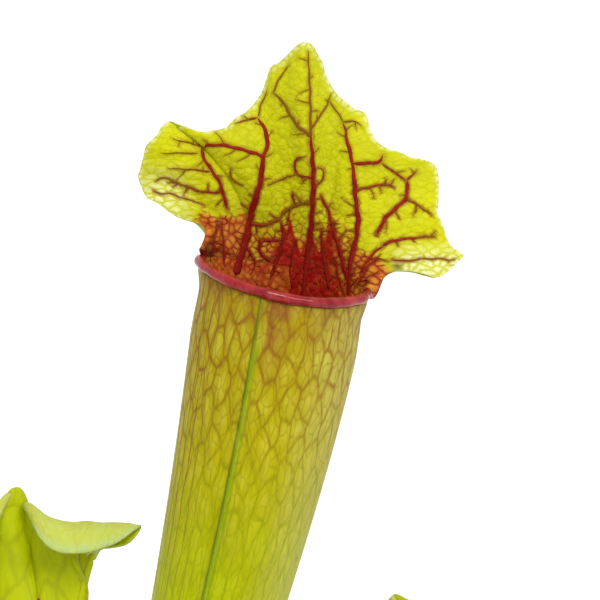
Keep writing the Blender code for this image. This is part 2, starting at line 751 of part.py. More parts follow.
def root(direction_deg, grow):
    """A tapered root that leaves the crown's underside and bends down and outwards."""
    out = heading(direction_deg)
    points = [
        Vector((0, 0, 82.0)) + out * 8.0,
        Vector((0, 0, 68.0)) + out * (ROOT_REACH * 0.6),
        Vector((0, 0, 48.0)) + out * (ROOT_REACH * 0.85),
        Vector((0, 0, ROOT_END_HEIGHT)) + out * ROOT_REACH,
    ]
    built = bmesh.new()
    last = len(points) - 1
    rings = []
    for k, point in enumerate(points):
        along = (points[min(last, k + 1)] - points[max(0, k - 1)]).normalized()
        radius = ROOT_START_RADIUS + (ROOT_END_RADIUS - ROOT_START_RADIUS) * k / last + grow
        if k == last:
            point = point + along * grow
        turn = along.to_track_quat("Z", "Y").to_matrix().to_4x4()
        ring = bmesh.ops.create_circle(
            built, cap_ends=False, segments=6, radius=radius, matrix=Matrix.Translation(point) @ turn
        )
        rings.append(ring["verts"])
    for low, high in zip(rings, rings[1:]):
        edges = [e for e in built.edges if e.verts[0] in low and e.verts[1] in low]
        edges += [e for e in built.edges if e.verts[0] in high and e.verts[1] in high]
        bmesh.ops.bridge_loops(built, edges=edges)
    bmesh.ops.holes_fill(built, edges=built.edges, sides=0)
    bmesh.ops.recalc_face_normals(built, faces=built.faces)
    return built


def sockets():
    """The plain holes in the crown, one for each leaf's foot, a gap wider than the foot."""
    feet = [(foot_of(p), axis_frame(p, 0.05)[0], p["foot_radius"]) for p in PITCHERS]
    for young in YOUNG:
        feet.append((young_foot(young), Vector(young["tip"]), YOUNG_FOOT_RADIUS))
    depth = CROWN_TOP - SOCKET_FLOOR + 8.0
    for foot, above, radius in feet:
        wide = radius + KEEL_ROOT_HALF_WIDTH + FIT_GAP
        along = (above - foot).normalized()
        turn = along.to_track_quat("Z", "Y").to_matrix().to_4x4()
        built = bmesh.new()
        bmesh.ops.create_cone(
            built,
            cap_ends=True,
            segments=12,
            radius1=wide,
            radius2=wide + 1.0,
            depth=depth,
            matrix=Matrix.Translation(foot + along * (depth / 2 - FIT_GAP)) @ turn,
        )
        yield built


def joined_lumps(name, grow, material, collection):
    """The crown's lumps and roots made one body by one union on a collection.

    The room left for them in the soil is grown by the gap, and is open above each leaf's foot.
    """
    pieces = bpy.data.collections.new(name + " pieces")
    bpy.context.scene.collection.children.link(pieces)
    first, *others = CROWN_LUMPS
    body = new_object(name, lump(*first, grow), material, collection)
    for k, (centre, radii) in enumerate(others):
        new_object(f"{name}_lump_{k}", lump(centre, radii, grow), material, pieces)
    for direction in ROOT_DIRECTIONS_DEG:
        new_object(f"{name}_root_{direction:.0f}", root(direction, grow), material, pieces)
    if grow > 0.0:
        for k, socket in enumerate(sockets()):
            new_object(f"{name}_socket_{k}", socket, material, pieces)
    union = body.modifiers.new("join", "BOOLEAN")
    union.operation = "UNION"
    union.operand_type = "COLLECTION"
    union.collection = pieces
    apply_modifiers(body)
    for piece in list(pieces.objects):
        bpy.data.objects.remove(piece)
    bpy.data.collections.remove(pieces)
    return body


def apply_modifiers(body):
    graph = bpy.context.evaluated_depsgraph_get()
    finished = bpy.data.meshes.new_from_object(body.evaluated_get(graph))
    body.modifiers.clear()
    body.data = finished


def build_rhizome(material, collection, cutters):
    rhizome = joined_lumps("rhizome", 0.0, material, collection)
    for k, socket in enumerate(sockets()):
        new_object(f"socket_drill_{k}", socket, material, cutters)
    cut = rhizome.modifiers.new("sockets", "BOOLEAN")
    cut.operation = "DIFFERENCE"
    cut.operand_type = "COLLECTION"
    cut.collection = cutters
    return rhizome


def hidden(collection):
    for cutter in collection.objects:
        cutter.hide_render = True
        cutter.display_type = "WIRE"


def main():
    for old in list(bpy.data.objects):
        bpy.data.objects.remove(old)
    collections = {}
    for name in ("pitcher plant", "drain drills", "socket drills", "soil cutter"):
        collections[name] = bpy.data.collections.new(name)
        bpy.context.scene.collection.children.link(collections[name])
    plant = collections["pitcher plant"]
    plastic = new_material("pot_plastic", POT_BROWN, 0.45)
    peat = new_material("peat", PEAT_BROWN, 0.95)
    bark = new_material("rhizome_bark", RHIZOME_BROWN, 0.8)
    leaf = new_material("pitcher_green", GREEN, 0.4)
    young_leaf = new_material("young_green", YOUNG_GREEN, 0.45)

    build_pot(plastic, plant, collections["drain drills"])
    crown_room = joined_lumps("crown_room", FIT_GAP, peat, collections["soil cutter"])
    build_soil(peat, plant, crown_room)
    build_rhizome(bark, plant, collections["socket drills"])
    for pitcher in PITCHERS:
        build_pitcher(pitcher, leaf, plant)
    for young in YOUNG:
        build_young_pitcher(young, young_leaf, plant)
    for name in ("drain drills", "socket drills", "soil cutter"):
        hidden(collections[name])


main()
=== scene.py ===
"""The visual scene of the potted pitcher plant: every leaf again with its veins and its net, and
the soil, crown and pot with their surfaces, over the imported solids."""

import math
import random

import bmesh
import bpy
import numpy as np
from mathutils import Matrix, Vector, noise


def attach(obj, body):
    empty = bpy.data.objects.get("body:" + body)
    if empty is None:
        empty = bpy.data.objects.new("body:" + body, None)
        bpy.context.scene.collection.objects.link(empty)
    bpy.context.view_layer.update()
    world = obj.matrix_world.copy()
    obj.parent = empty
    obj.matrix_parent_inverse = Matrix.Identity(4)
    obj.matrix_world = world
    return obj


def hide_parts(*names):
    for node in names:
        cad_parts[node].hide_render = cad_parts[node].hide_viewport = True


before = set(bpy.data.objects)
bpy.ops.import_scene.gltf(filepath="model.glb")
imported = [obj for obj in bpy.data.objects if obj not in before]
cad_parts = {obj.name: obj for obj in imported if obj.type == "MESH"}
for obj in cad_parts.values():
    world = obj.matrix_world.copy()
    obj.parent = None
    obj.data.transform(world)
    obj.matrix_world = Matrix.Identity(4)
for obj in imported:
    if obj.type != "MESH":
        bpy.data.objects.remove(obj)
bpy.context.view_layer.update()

MM = 0.001
scene = bpy.context.scene
visual = bpy.data.collections.new("visual")
scene.collection.children.link(visual)

# The open pitchers: their shape
# Each pitcher is one leaf that has grown into a trumpet. It stands in the crown, carries a green
# keel down its front, a rolled lip, and a lid that is the leaf's own blade. The surface is the one
# in the solids, sampled finely. Millimetres from the middle of the pot's underside.

LEAF_WALL = 0.8
FOOT_HEIGHT = 87.35
FOOT_RING = 13.5
LIP_END = math.radians(97.0)
LID_END = math.radians(100.0)
FLARE_AT = math.radians(112.0)
LID_HEIGHT = 37.0
PX_A_MM = 6.5
MOUTH_PX = (283.0, 285.0)
CAMERA_TIP = math.radians(8.0)
CAMERA_AWAY = 800.0

# The lid's edge in mm from the middle of the mouth: right, back and up, and where it is rolled over
# a fourth value, how much. The left half runs up to the tip and the right half down from it.
LID_LEFT = [
    (-12.2, 2.2, 4.0),
    (-12.7, 2.3, 5.2),
    (-12.3, 2.6, 6.2),
    (-12.0, 3.0, 7.1),
    (-12.0, 3.5, 7.9),
    (-12.2, 4.2, 8.6),
    (-13.2, 4.9, 8.9),
    (-15.8, 7.4, 9.4),
    (-17.3, 8.7, 9.9),
    (-18.5, 9.7, 10.7),
    (-19.8, 10.7, 11.5),
    (-21.2, 11.5, 12.1),
    (-21.9, 12.1, 13.4),
    (-22.6, 12.5, 15.4),
    (-22.2, 12.0, 16.7),
    (-21.7, 11.5, 18.7),
    (-21.2, 11.2, 20.4),
    (-19.5, 11.2, 22.1),
    (-19.0, 11.4, 23.1),
    (-17.9, 11.9, 24.0),
    (-17.1, 11.4, 23.8),
    (-16.3, 10.8, 23.2),
    (-15.6, 10.4, 23.5),
    (-12.9, 9.5, 22.7),
    (-11.0, 9.3, 22.8),
    (-8.9, 9.7, 23.3),
    (-7.8, 10.1, 24.4),
    (-5.5, 10.8, 25.9),
    (-4.2, 11.3, 27.3),
    (-3.1, 11.1, 29.0),
    (-2.4, 10.7, 31.1),
    (-1.8, 10.3, 32.7),
    (-0.5, 9.8, 33.5),
    (0.9, 9.1, 34.8),
    (2.1, 8.2, 36.1),
    (3.1, 7.6, 36.8),
]
LID_RIGHT = [
    (3.8, 7.6, 36.7),
    (4.6, 7.8, 36.2),
    (5.2, 8.2, 35.0),
    (6.1, 8.9, 33.4),
    (6.4, 9.5, 31.8),
    (7.6, 10.4, 29.4),
    (8.7, 10.9, 28.0),
    (9.9, 11.3, 27.0),
    (11.1, 11.9, 26.0),
    (12.4, 12.4, 25.5),
    (13.1, 12.2, 24.5),
    (13.4, 11.7, 23.0),
    (14.3, 10.9, 21.3),
    (15.6, 10.5, 20.2),
    (17.8, 11.0, 19.4),
    (18.6, 11.2, 19.2),
    (19.2, 11.4, 18.7),
    (21.9, 12.3, 18.0),
    (23.3, 12.8, 17.3),
    (24.1, 12.5, 15.6),
    (24.1, 11.3, 11.3),
    (23.9, 11.1, 9.8),
    (24.6, 11.1, 8.4),
    (25.7, 11.2, 5.2),
    (26.6, 11.4, 4.1),
    (28.1, 11.7, 3.0),
    (27.2, 11.1, 2.2),
    (26.0, 10.2, 1.1),
    (24.7, 9.2, 0.2),
    (23.4, 8.3, 0.0),
    (21.8, 7.2, 0.7),
    (19.0, 5.1, 1.5),
    (17.4, 4.2, 1.5),
    (16.0, 3.4, 1.1),
    (15.0, 2.6, 0.0),
    (14.3, 2.2, -1.4),
    (13.6, 2.0, -2.1),
    (12.6, 2.3, -2.2),
]
REAR_LID_LEFT = [
    (-9.1, 0.0, 1.0, 0.0),
    (-9.2, 3.0, 4.8, 0.0),
    (-9.5, 4.5, 8.6, 0.0),
    (-8.4, 5.0, 12.0, 0.0),
    (-8.6, 4.5, 14.3, 0.0),
    (-13.0, 3.5, 14.5, 0.0),
    (-15.6, 2.0, 15.0, 0.0),
    (-17.2, 0.0, 17.0, 0.0),
    (-14.1, 5.0, 15.6, 0.5),
    (-11.5, 8.0, 15.1, 0.8),
    (-9.2, 10.0, 14.9, 0.9),
    (-6.1, 11.5, 15.2, 1.0),
    (-3.9, 11.5, 16.2, 1.0),
    (-2.2, 9.0, 18.1, 0.8),
    (-0.6, 2.5, 20.4, 0.3),
    (0.9, -2.0, 22.5, 0.0),
]
REAR_LID_RIGHT = [
    (2.2, 1.5, 21.4, 0.4),
    (3.5, 8.0, 19.0, 0.9),
    (5.9, 10.5, 16.6, 1.0),
    (9.4, 9.0, 15.0, 1.0),
    (13.1, 6.0, 14.9, 0.8),
    (16.3, 1.0, 16.9, 0.1),
    (14.8, 2.5, 14.5, 0.0),
    (11.5, 4.0, 13.3, 0.0),
    (8.2, 5.0, 12.0, 0.0),
    (8.0, 4.5, 8.3, 0.0),
    (8.4, 3.0, 4.8, 0.0),
    (9.1, 0.0, 1.0, 0.0),
]

TALL = dict(
    name="pitcher_tall",
    base_deg=65.0,
    mouth=(44.0, 14.0, 303.0),
    lean=(0.15, 0.0, 0.99),
    start_lean=-0.06,
    facing_deg=-102.5,
    radius=13.3,
    foot_radius=3.1,
    keel=2.0,
    lip=0.8,
    neck=0.05,
    rim_dip=1.2,
    rim_lift=1.2,
    rim_tilt=-0.65,
    rim_twist=-0.2,
    flare=(1.6, 0.8),
    outline=(LID_LEFT, LID_RIGHT),
    measured_deg=-90.0,
    lid_scale=(1.0, 1.0),
    spring=1.0,
    nod_deg=0.0,
    curl=0.0,
    mirrored=False,
    ruffle=0.0,
    face_net=1.0,
    painted_face_highlight=0.0,
    pale_tip=0.0,
    lid_columns=224,
    side_columns=26,
    tube_rows=120,
    lid_rows=80,
    inner_rows=40,
)
REAR_VIEW = dict(
    TALL,
    name="pitcher_front_left",
    base_deg=245.0,
    mouth=(6.1, -28.0, 256.1),
    lean=(0.0, -0.12, 0.99),
    start_lean=0.05,
    facing_deg=106.0,
    radius=9.2,
    foot_radius=2.8,
    lip=0.75,
    neck=0.015,
    rim_dip=2.6,
    rim_lift=1.0,
    rim_tilt=0.3,
    rim_twist=0.0,
    flare=(0.0, 0.6),
    outline=(REAR_LID_LEFT, REAR_LID_RIGHT),
    measured_deg=90.0,
    spring=2.5,
    face_net=0.2,
    # Painted highlight: the face of its turned-over margins is made paler all over.
    painted_face_highlight=0.55,
    lid_columns=150,
    side_columns=14,
    tube_rows=90,
    lid_rows=50,
    inner_rows=30,
)


def shorter(name, base_deg, mouth, lean, facing_deg, radius, scale, nod_deg, mirrored):
    return dict(
        REAR_VIEW,
        name=name,
        base_deg=base_deg,
        mouth=mouth,
        lean=lean,
        facing_deg=facing_deg,
        radius=radius,
        foot_radius=2.6,
        lip=0.7,
        rim_dip=2.4,
        flare=(0.6, 0.6),
        outline=(LID_LEFT, LID_RIGHT),
        measured_deg=None,
        spring=1.0,
        lid_scale=scale,
        nod_deg=nod_deg,
        curl=2.0,
        face_net=0.9,
        painted_face_highlight=0.0,
        pale_tip=1.0 if name == "pitcher_right" else 0.0,
        mirrored=mirrored,
        ruffle=1.2,
        lid_columns=96,
        side_columns=12,
        tube_rows=70,
        lid_rows=34,
        inner_rows=20,
    )


PITCHERS = [
    TALL,
    REAR_VIEW,
    shorter(
        "pitcher_right", -25.0, (58.5, -21.0, 239.9), (0.2, -0.08, 0.97),
        155.0, 9.2, (0.7, 0.72), 38.0, False,
    ),
    shorter(
        "pitcher_back_right", 20.0, (60.0, 30.0, 205.0), (0.26, 0.12, 0.96),
        205.0, 8.4, (0.64, 0.68), 25.0, True,
    ),
    shorter(
        "pitcher_back", 110.0, (-6.0, 50.0, 212.0), (-0.02, 0.22, 0.97),
        -85.0, 8.8, (0.68, 0.7), 30.0, False,
    ),
    shorter(
        "pitcher_back_left", 155.0, (-45.0, 30.0, 222.0), (-0.2, 0.12, 0.97),
        -40.0, 9.0, (0.68, 0.72), 35.0, True,
    ),
    shorter(
        "pitcher_left", 200.0, (-58.0, -16.0, 190.0), (-0.27, -0.08, 0.96),
        20.0, 8.2, (0.62, 0.64), 28.0, False,
    ),
    shorter(
        "pitcher_front", 290.0, (24.0, -52.0, 184.0), (0.1, -0.25, 0.96),
        112.0, 8.0, (0.62, 0.64), 32.0, True,
    ),
]


def smooth(x):
    x = np.clip(x, 0.0, 1.0)
    return x * x * (3.0 - 2.0 * x)


def unit(v):
    return v / np.maximum(np.linalg.norm(v, axis=-1, keepdims=True), 1e-9)


def heading(degrees):
    return np.array((math.cos(math.radians(degrees)), math.sin(math.radians(degrees)), 0.0))


def hermite(p, leave, q, arrive, t):
    t2, t3 = t * t, t * t * t
    start = p * (2 * t3 - 3 * t2 + 1) + leave * (t3 - 2 * t2 + t)
    return start + q * (3 * t2 - 2 * t3) + arrive * (t3 - t2)


def axis_frame(leaf, s):
    """Centre, tangent, front and side of the tube at each s, the share of its length."""
    s = np.asarray(s, dtype=float)[..., None]
    foot = np.append((heading(leaf["base_deg"]) * FOOT_RING)[:2], FOOT_HEIGHT)
    mouth = np.array(leaf["mouth"])
    lean = unit(np.array(leaf["lean"]))
    reach = np.linalg.norm(mouth - foot) / 3.0
    outward = (mouth - foot) * (1.0, 1.0, 0.0)
    start = unit(np.array((0.0, 0.0, 1.0)) + unit(outward) * leaf["start_lean"])
    first, last, back = foot + start * reach, mouth - lean * reach, 1.0 - s
    centre = foot * back**3 + first * 3 * back * back * s + last * 3 * back * s * s + mouth * s**3
    along = (first - foot) * back * back + (last - first) * 2 * back * s + (mouth - last) * s * s
    tangent = unit(along)
    front = heading(leaf["facing_deg"])
    front = unit(front - tangent * np.sum(front * tangent, axis=-1, keepdims=True))
    return centre, tangent, front, np.cross(tangent, front)


def tube_radius(leaf, s):
    full, foot = leaf["radius"], leaf["foot_radius"]
    grown = 1.0 - np.maximum(0.0, 1.0 - s * s) ** 1.35
    return foot + (full - foot) * grown - leaf["neck"] * full * smooth((s - 0.95) / 0.05)


def tube_point(leaf, theta, s, inset, drop=0.0, out=0.0):
    given = (np.asarray(value, dtype=float) for value in (theta, s, out, drop))
    theta, s, out, drop = np.broadcast_arrays(*given)
    centre, tangent, front, side = axis_frame(leaf, s)
    radius = tube_radius(leaf, s) - inset + out
    for flare, end in zip(leaf["flare"], (-FLARE_AT, FLARE_AT)):
        from_end = (np.mod(theta - end + math.pi, math.tau) - math.pi) / math.radians(34.0)
        radius = radius + flare * np.exp(-from_end * from_end) * smooth((s - 0.982) / 0.018)
    dip = leaf["rim_dip"] * np.maximum(0.0, np.cos(theta)) ** 1.2
    tilt = leaf["rim_tilt"] * np.sin(theta) + leaf["rim_twist"] * np.sin(2 * theta)
    rise = (leaf["rim_lift"] + tilt - dip - drop) * smooth((s - 0.88) / 0.12)
    around = front * np.cos(theta)[..., None] + side * np.sin(theta)[..., None]
    return centre + around * radius[..., None] + tangent * rise[..., None]


def nodded(leaf, points):
    nod = math.radians(leaf["nod_deg"])
    if nod == 0.0:
        return points
    arc = LID_HEIGHT * leaf["lid_scale"][1] / nod
    angle = np.maximum(points[:, 2], 0.0) / arc
    depth = points[:, 1] - leaf["radius"]
    bent = points.copy()
    bent[:, 1] = leaf["radius"] - arc * (1.0 - np.cos(angle)) + depth * np.cos(angle)
    bent[:, 2] = (arc + depth) * np.sin(angle)
    return np.where(points[:, 2:3] > 0.0, bent, points)


def lid_axes(leaf):
    """Right, back and up of the lid: the leaf's own, or level ones where it was measured so."""
    if leaf["measured_deg"] is None:
        _, up, front, right = axis_frame(leaf, 1.0)
        return right, -front, up
    front, up = heading(leaf["measured_deg"]), np.array((0.0, 0.0, 1.0))
    return np.cross(up, front), -front, up


def lid_edge(leaf):
    """The lid's edge about the middle of the mouth, as (places from -1 to 1, points, how rolled)."""
    wide, tall = leaf["lid_scale"]
    phase = random.Random(leaf["name"]).uniform(0.0, math.tau)
    left, right = (list(half) for half in leaf["outline"])
    if leaf["mirrored"]:
        left, right = right[::-1] + [left[-1]], left[-2::-1]
    raw = np.array([(*row, 0.0)[:4] for row in left + right])
    raw[:, 0] *= -1.0 if leaf["mirrored"] else 1.0
    share = np.minimum(1.0, np.abs(raw[:, 0]) / 20.0)
    wave = leaf["ruffle"] * np.sin(phase + 0.42 * raw[:, 2] + 0.28 * raw[:, 0]) * share
    back = raw[:, 1] * wide + wave + leaf["curl"] * share
    points = np.stack([raw[:, 0] * wide, back, raw[:, 2] * tall - 0.6 * leaf["curl"] * share], axis=1)
    points = np.column_stack([nodded(leaf, points), raw[:, 3]])
    _, tangent, _, _ = axis_frame(leaf, 1.0)
    for end, theta in ((0, -LID_END), (-1, LID_END)):
        on_rim = tube_point(leaf, theta, 1.0, LEAF_WALL / 2) + tangent * 0.4 - np.array(leaf["mouth"])
        points[end, :3] = [float(np.dot(on_rim, axis)) for axis in lid_axes(leaf)]
    tip = len(left) - 1
    places, found = [], []
    for half, offset in ((points[: tip + 1], -1.0), (points[tip:], 0.0)):
        lengths = np.append(0.0, np.cumsum(np.linalg.norm(np.diff(half, axis=0), axis=1)))
        along = np.linspace(0.0, 1.0, 1200)
        k = np.searchsorted(lengths, along * lengths[-1], side="right") - 1
        k = np.clip(k, 0, len(half) - 2)
        t = ((along * lengths[-1] - lengths[k]) / (lengths[k + 1] - lengths[k]))[:, None]
        before, after = half[np.maximum(k - 1, 0)], half[np.minimum(k + 2, len(half) - 1)]
        p, q = half[k], half[k + 1]
        found.append(hermite(p, (q - before) * 0.5, q, (after - p) * 0.5, t))
        places.append(along + offset)
    places, found = np.concatenate(places), np.concatenate(found)
    return places, found[:, :3], np.clip(found[:, 3], 0.0, 1.0)


def lid_theta(along):
    """The angle on the rim from which the lid's line at this place grows."""
    return math.pi - along * (math.pi - LID_END)


def lid_surface(leaf, along, t):
    """The lid's middle surface on the grid along x t, and its unit normal towards the lid's back.

    Where t is below zero the surface carries on down the inner wall of the tube.
    """
    along, t = np.asarray(along, dtype=float), np.asarray(t, dtype=float)
    theta = lid_theta(along)
    places, edge, roll = lid_edge(leaf)
    local = np.stack([np.interp(along, places, edge[:, k]) for k in range(3)], axis=1)
    roll = np.interp(along, places, roll)[:, None]
    right, back, up = lid_axes(leaf)
    start = tube_point(leaf, theta, 1.0, LEAF_WALL / 2)
    _, tangent, front, side = axis_frame(leaf, 1.0)
    radial = front * np.cos(theta)[:, None] + side * np.sin(theta)[:, None]
    end = np.array(leaf["mouth"]) + local[:, :1] * right + local[:, 1:2] * back + local[:, 2:] * up
    reach = np.linalg.norm(end - start, axis=1, keepdims=True)
    sideways = smooth(np.abs(local[:, :1]) / 9.0)
    spring = 1.0 + (leaf["spring"] - 1.0) * (1.0 - roll) * sideways
    leave = unit(tangent + radial * 0.12) * reach * spring
    middle = 0.45 * LID_HEIGHT * leaf["lid_scale"][1]
    outward = unit(right * local[:, :1] + up * (local[:, 2:] - middle))
    outward = unit(outward + back * (0.35 + 0.12 * leaf["curl"])) * reach
    rolled = (back * 0.9 - up + right * np.copysign(0.3, local[:, :1])) * (2.4 * reach)
    arrive = outward * (1.0 - roll) + rolled * roll
    tt = np.maximum(t, 0.0)[None, :, None]
    points = hermite(start[:, None], leave[:, None], end[:, None], arrive[:, None], tt)
    below = tube_point(leaf, theta[:, None], 1.0 + 0.2 * np.minimum(t, 0.0)[None, :], LEAF_WALL / 2)
    points = np.where(t[None, :, None] < 0.0, below, points)
    across = np.gradient(points, axis=0) * np.sign(along[-1] - along[0])
    upward = np.gradient(points, axis=1)
    thin = np.linalg.norm(upward, axis=2, keepdims=True) < 1e-6
    upward = np.where(thin, tangent, upward)
    normal = unit(np.cross(upward, across))
    return points, normal


def seen_flat(points, mouth):
    """Right and up as the camera of the photograph sees a point of the tall pitcher's lid."""
    rel = points - np.array(mouth)
    nearer = 1.0 + rel[..., 1] / CAMERA_AWAY
    up = rel[..., 2] * math.cos(CAMERA_TIP) + rel[..., 1] * math.sin(CAMERA_TIP)
    return rel[..., 0] / nearer, up / nearer


# Where each point of a lid would lie on the tall pitcher's: one drawing of veins serves all lids.
DRAWN_ALONG = np.linspace(-1.0, 1.0, 481)
DRAWN_T = np.linspace(-0.45, 1.0, 201)
drawn_points, _ = lid_surface(TALL, DRAWN_ALONG, DRAWN_T)
drawn_x, drawn_z = seen_flat(drawn_points, TALL["mouth"])


def on_grid(values, along, t):
    """Reads a grid made over DRAWN_ALONG and DRAWN_T between its points."""
    a = np.clip((along + 1.0) / 2.0 * (len(DRAWN_ALONG) - 1), 0, len(DRAWN_ALONG) - 1.001)
    share = (t - DRAWN_T[0]) / (DRAWN_T[-1] - DRAWN_T[0])
    b = np.clip(share * (len(DRAWN_T) - 1), 0, len(DRAWN_T) - 1.001)
    i, j = a.astype(int), b.astype(int)
    u, v = a - i, b - j
    if values.ndim == 3:
        u, v = u[..., None], v[..., None]
    low = values[i, j] * (1 - u) + values[i + 1, j] * u
    high = values[i, j + 1] * (1 - u) + values[i + 1, j + 1] * u
    return low * (1 - v) + high * v


# The larger veins as drawn: width in mm at the start and the end, then places in pixels of the
# photograph, right and down.
VEIN_ROUTES = [
    (0.85, 0.58, (303, 300), (305, 285), (307, 262), (311, 232), (312.5, 208), (313, 185),
     (311, 158), (309, 135)),
    (0.5, 0.2, (309, 137), (308.5, 105), (307.5, 77), (307, 52)),
    (0.55, 0.4, (309, 138), (305, 132), (300, 128), (290, 112), (281, 98), (274, 94.5)),
    (0.25, 0.15, (274, 94.5), (280, 80), (291, 66)),
    (0.35, 0.2, (309, 129), (312.5, 123.5), (320, 114), (327, 101), (330, 95)),
    (0.22, 0.2, (328, 101), (336, 113), (342, 123)),
    (1.15, 0.55, (234, 275), (239, 258), (244, 243), (251, 215), (259, 185), (262, 158),
     (267, 144), (264, 129), (257, 119)),
    (0.4, 0.25, (257, 119), (250, 120), (245, 121), (236, 124.5)),
    (0.25, 0.15, (258, 118), (262, 104), (269, 92)),
    (0.55, 0.5, (262.5, 158), (257, 154.5), (249, 152), (239, 149.5), (228, 145.5), (215, 143.5),
     (206, 146), (201, 149)),
    (0.5, 0.45, (201, 149), (204, 160), (212, 171), (220, 183), (223, 195), (227, 208)),
    (0.3, 0.15, (201, 148), (193, 145), (180, 141.5), (172, 139)),
    (0.3, 0.15, (209.5, 171.5), (200, 170), (191, 169), (179, 168.5), (169, 168)),
    (0.32, 0.2, (220, 192), (210, 192), (200, 191), (187, 185.5), (177, 181), (168, 182)),
    (0.25, 0.12, (197, 154), (186, 153), (175, 153.5), (161, 154)),
    (0.85, 0.45, (350, 296), (350.5, 281), (351, 268), (353, 254), (356.5, 240), (358, 220),
     (354.5, 195), (353, 165), (350, 150), (346, 139), (342, 123)),
    (0.28, 0.18, (342, 122.5), (348, 121.5), (354, 122), (362, 128)),
    (0.55, 0.5, (353, 163.5), (362, 163), (372, 162.5), (381, 162.5), (381.5, 155)),
    (0.35, 0.35, (381, 163), (388, 168), (395, 174), (406, 181.5)),
    (0.5, 0.55, (406, 181.5), (407, 190), (405, 200), (396, 208), (386, 217), (381, 226), (377, 235)),
    (0.35, 0.25, (406, 181), (411, 176), (416, 171)),
    (0.3, 0.2, (405, 200), (412, 203), (418, 206), (430, 215)),
    (0.3, 0.3, (354, 191.5), (358, 189.5), (363, 188), (370, 186), (379, 185), (386, 184),
     (393, 188.5)),
    (0.25, 0.2, (384, 184), (384, 178)),
    (0.3, 0.35, (363, 273), (365, 267), (368, 261), (375, 252), (382, 246.5)),
    (0.45, 0.25, (382, 246.5), (388, 242.5), (395, 240.5), (402, 239), (409, 238.5), (422, 237),
     (434, 236)),
    (0.25, 0.15, (392, 261), (400, 262), (407, 262), (415, 260), (423, 259), (438, 259), (453, 260)),
    (0.7, 0.35, (350, 282), (344, 264), (337, 238), (331, 218), (325, 204), (320, 195)),
    (0.3, 0.3, (312, 177.5), (303, 176.5), (297, 174), (295.5, 166), (296, 158), (300, 156.5),
     (304, 157.5)),
    (0.22, 0.2, (312.5, 187), (315, 184), (320, 182), (323.5, 178), (322.5, 168), (318, 166),
     (314, 167)),
    (0.22, 0.15, (297, 174), (290, 176), (283, 178), (275, 181), (267, 184)),
    (0.35, 0.45, (311, 204), (304, 203), (297, 204), (290, 207), (283, 212), (276, 220),
     (267, 223), (258, 224.5), (249, 223)),
    (0.25, 0.3, (293, 192), (293.5, 198), (295, 204)),
    (0.4, 0.6, (281, 222), (283, 232), (283, 241), (280, 251), (276, 261), (270, 278)),
    (0.4, 0.35, (270, 262), (262, 256), (257, 247), (262, 240), (272, 239), (281, 240)),
    (0.5, 0.3, (330, 290), (327, 272), (324, 255), (322, 240), (322, 228)),
    (0.35, 0.25, (292, 288), (290, 270), (292, 252), (296, 240)),
    (0.35, 0.2, (222, 268), (222, 250), (221, 236), (221, 222)),
    (0.3, 0.2, (208, 262), (211, 246), (214, 232), (217, 220)),
    (0.35, 0.25, (345, 293), (339, 275), (336, 258)),
    (0.3, 0.2, (359, 288), (368, 270), (380, 256)),
    (0.3, 0.2, (244, 245), (255, 262), (250, 275)),
    (0.22, 0.15, (156, 182), (162, 176), (172, 178), (177, 181)),
    (0.2, 0.12, (154, 191), (162, 195), (172, 194), (182, 199), (196, 202), (204, 206)),
    (0.2, 0.12, (232, 167), (231, 175), (236, 182), (243, 184)),
]


def flat_routes():
    """Every route in millimetres with its two widths, and the short twigs of the larger ones."""
    chance = random.Random(5)
    found = []
    for wide, narrow, *points in VEIN_ROUTES:
        points = (np.array(points) - MOUTH_PX) / (PX_A_MM, -PX_A_MM)
        lengths = np.append(0.0, np.cumsum(np.linalg.norm(np.diff(points, axis=0), axis=1)))
        at = np.linspace(0.0, lengths[-1], max(6, int(lengths[-1] / 0.4)))
        dense = np.stack([np.interp(at, lengths, points[:, k]) for k in range(2)], axis=1)
        waver = 0.09 * np.sin(at * 2.3 + wide * 40.0) + 0.05 * np.sin(at * 5.1 + narrow * 70.0)
        waver = waver * smooth(at / 0.8)
        direction = unit(np.gradient(dense, axis=0))
        across = np.stack([-direction[:, 1], direction[:, 0]], axis=1)
        dense = dense + across * waver[:, None]
        found.append((wide, narrow, dense))
        if wide < 0.28:
            continue
        k = chance.randrange(2, 6)
        while k < len(dense) - 1:
            side, reach = chance.choice((-1.0, 1.0)), chance.uniform(0.5, 1.9)
            aim = direction[k] * chance.uniform(0.1, 0.8) + across[k] * side
            bend = direction[k] * chance.uniform(-0.5, 0.6)
            share = np.linspace(0.0, 1.0, 6)[:, None]
            found.append((0.17, 0.07, dense[k] + (aim * share + bend * share**2) * reach))
            k += chance.randrange(3, 9)
    return found


drawn_routes = flat_routes()


def routes_on_lid():
    """Every route as places (along, t) on the lid, with its two widths in millimetres."""
    flat = np.stack([drawn_x.ravel(), drawn_z.ravel()], axis=1)
    laid = []
    for wide, narrow, dense in drawn_routes:
        nearest = [int(np.argmin(np.sum((flat - p) ** 2, axis=1))) for p in dense]
        i, j = np.divmod(nearest, len(DRAWN_T))
        along, t = DRAWN_ALONG[i], DRAWN_T[j]
        for _ in range(3):
            along[1:-1] = (along[:-2] + 2 * along[1:-1] + along[2:]) / 4
            t[1:-1] = (t[:-2] + 2 * t[1:-1] + t[2:]) / 4
        laid.append((wide, narrow, along, t))
    return laid


laid_routes = routes_on_lid()


def distance_to_veins():
    """How far each point of the drawn lid is from the nearest vein's side, in millimetres."""
    nearest = np.full(drawn_x.shape, 99.0)
    for wide, narrow, dense in drawn_routes:
        widths = np.linspace(wide, narrow, len(dense))
        for (x, z), width in zip(dense, widths):
            nearest = np.minimum(nearest, np.hypot(drawn_x - x, drawn_z - z) - width / 2)
    return nearest


drawn_halo = distance_to_veins()


def bump_at(x, z, place, size):
    """A soft round patch on the drawn lid."""
    return np.exp(-(((x - place[0]) / size[0]) ** 2) - ((z - place[1]) / size[1]) ** 2)


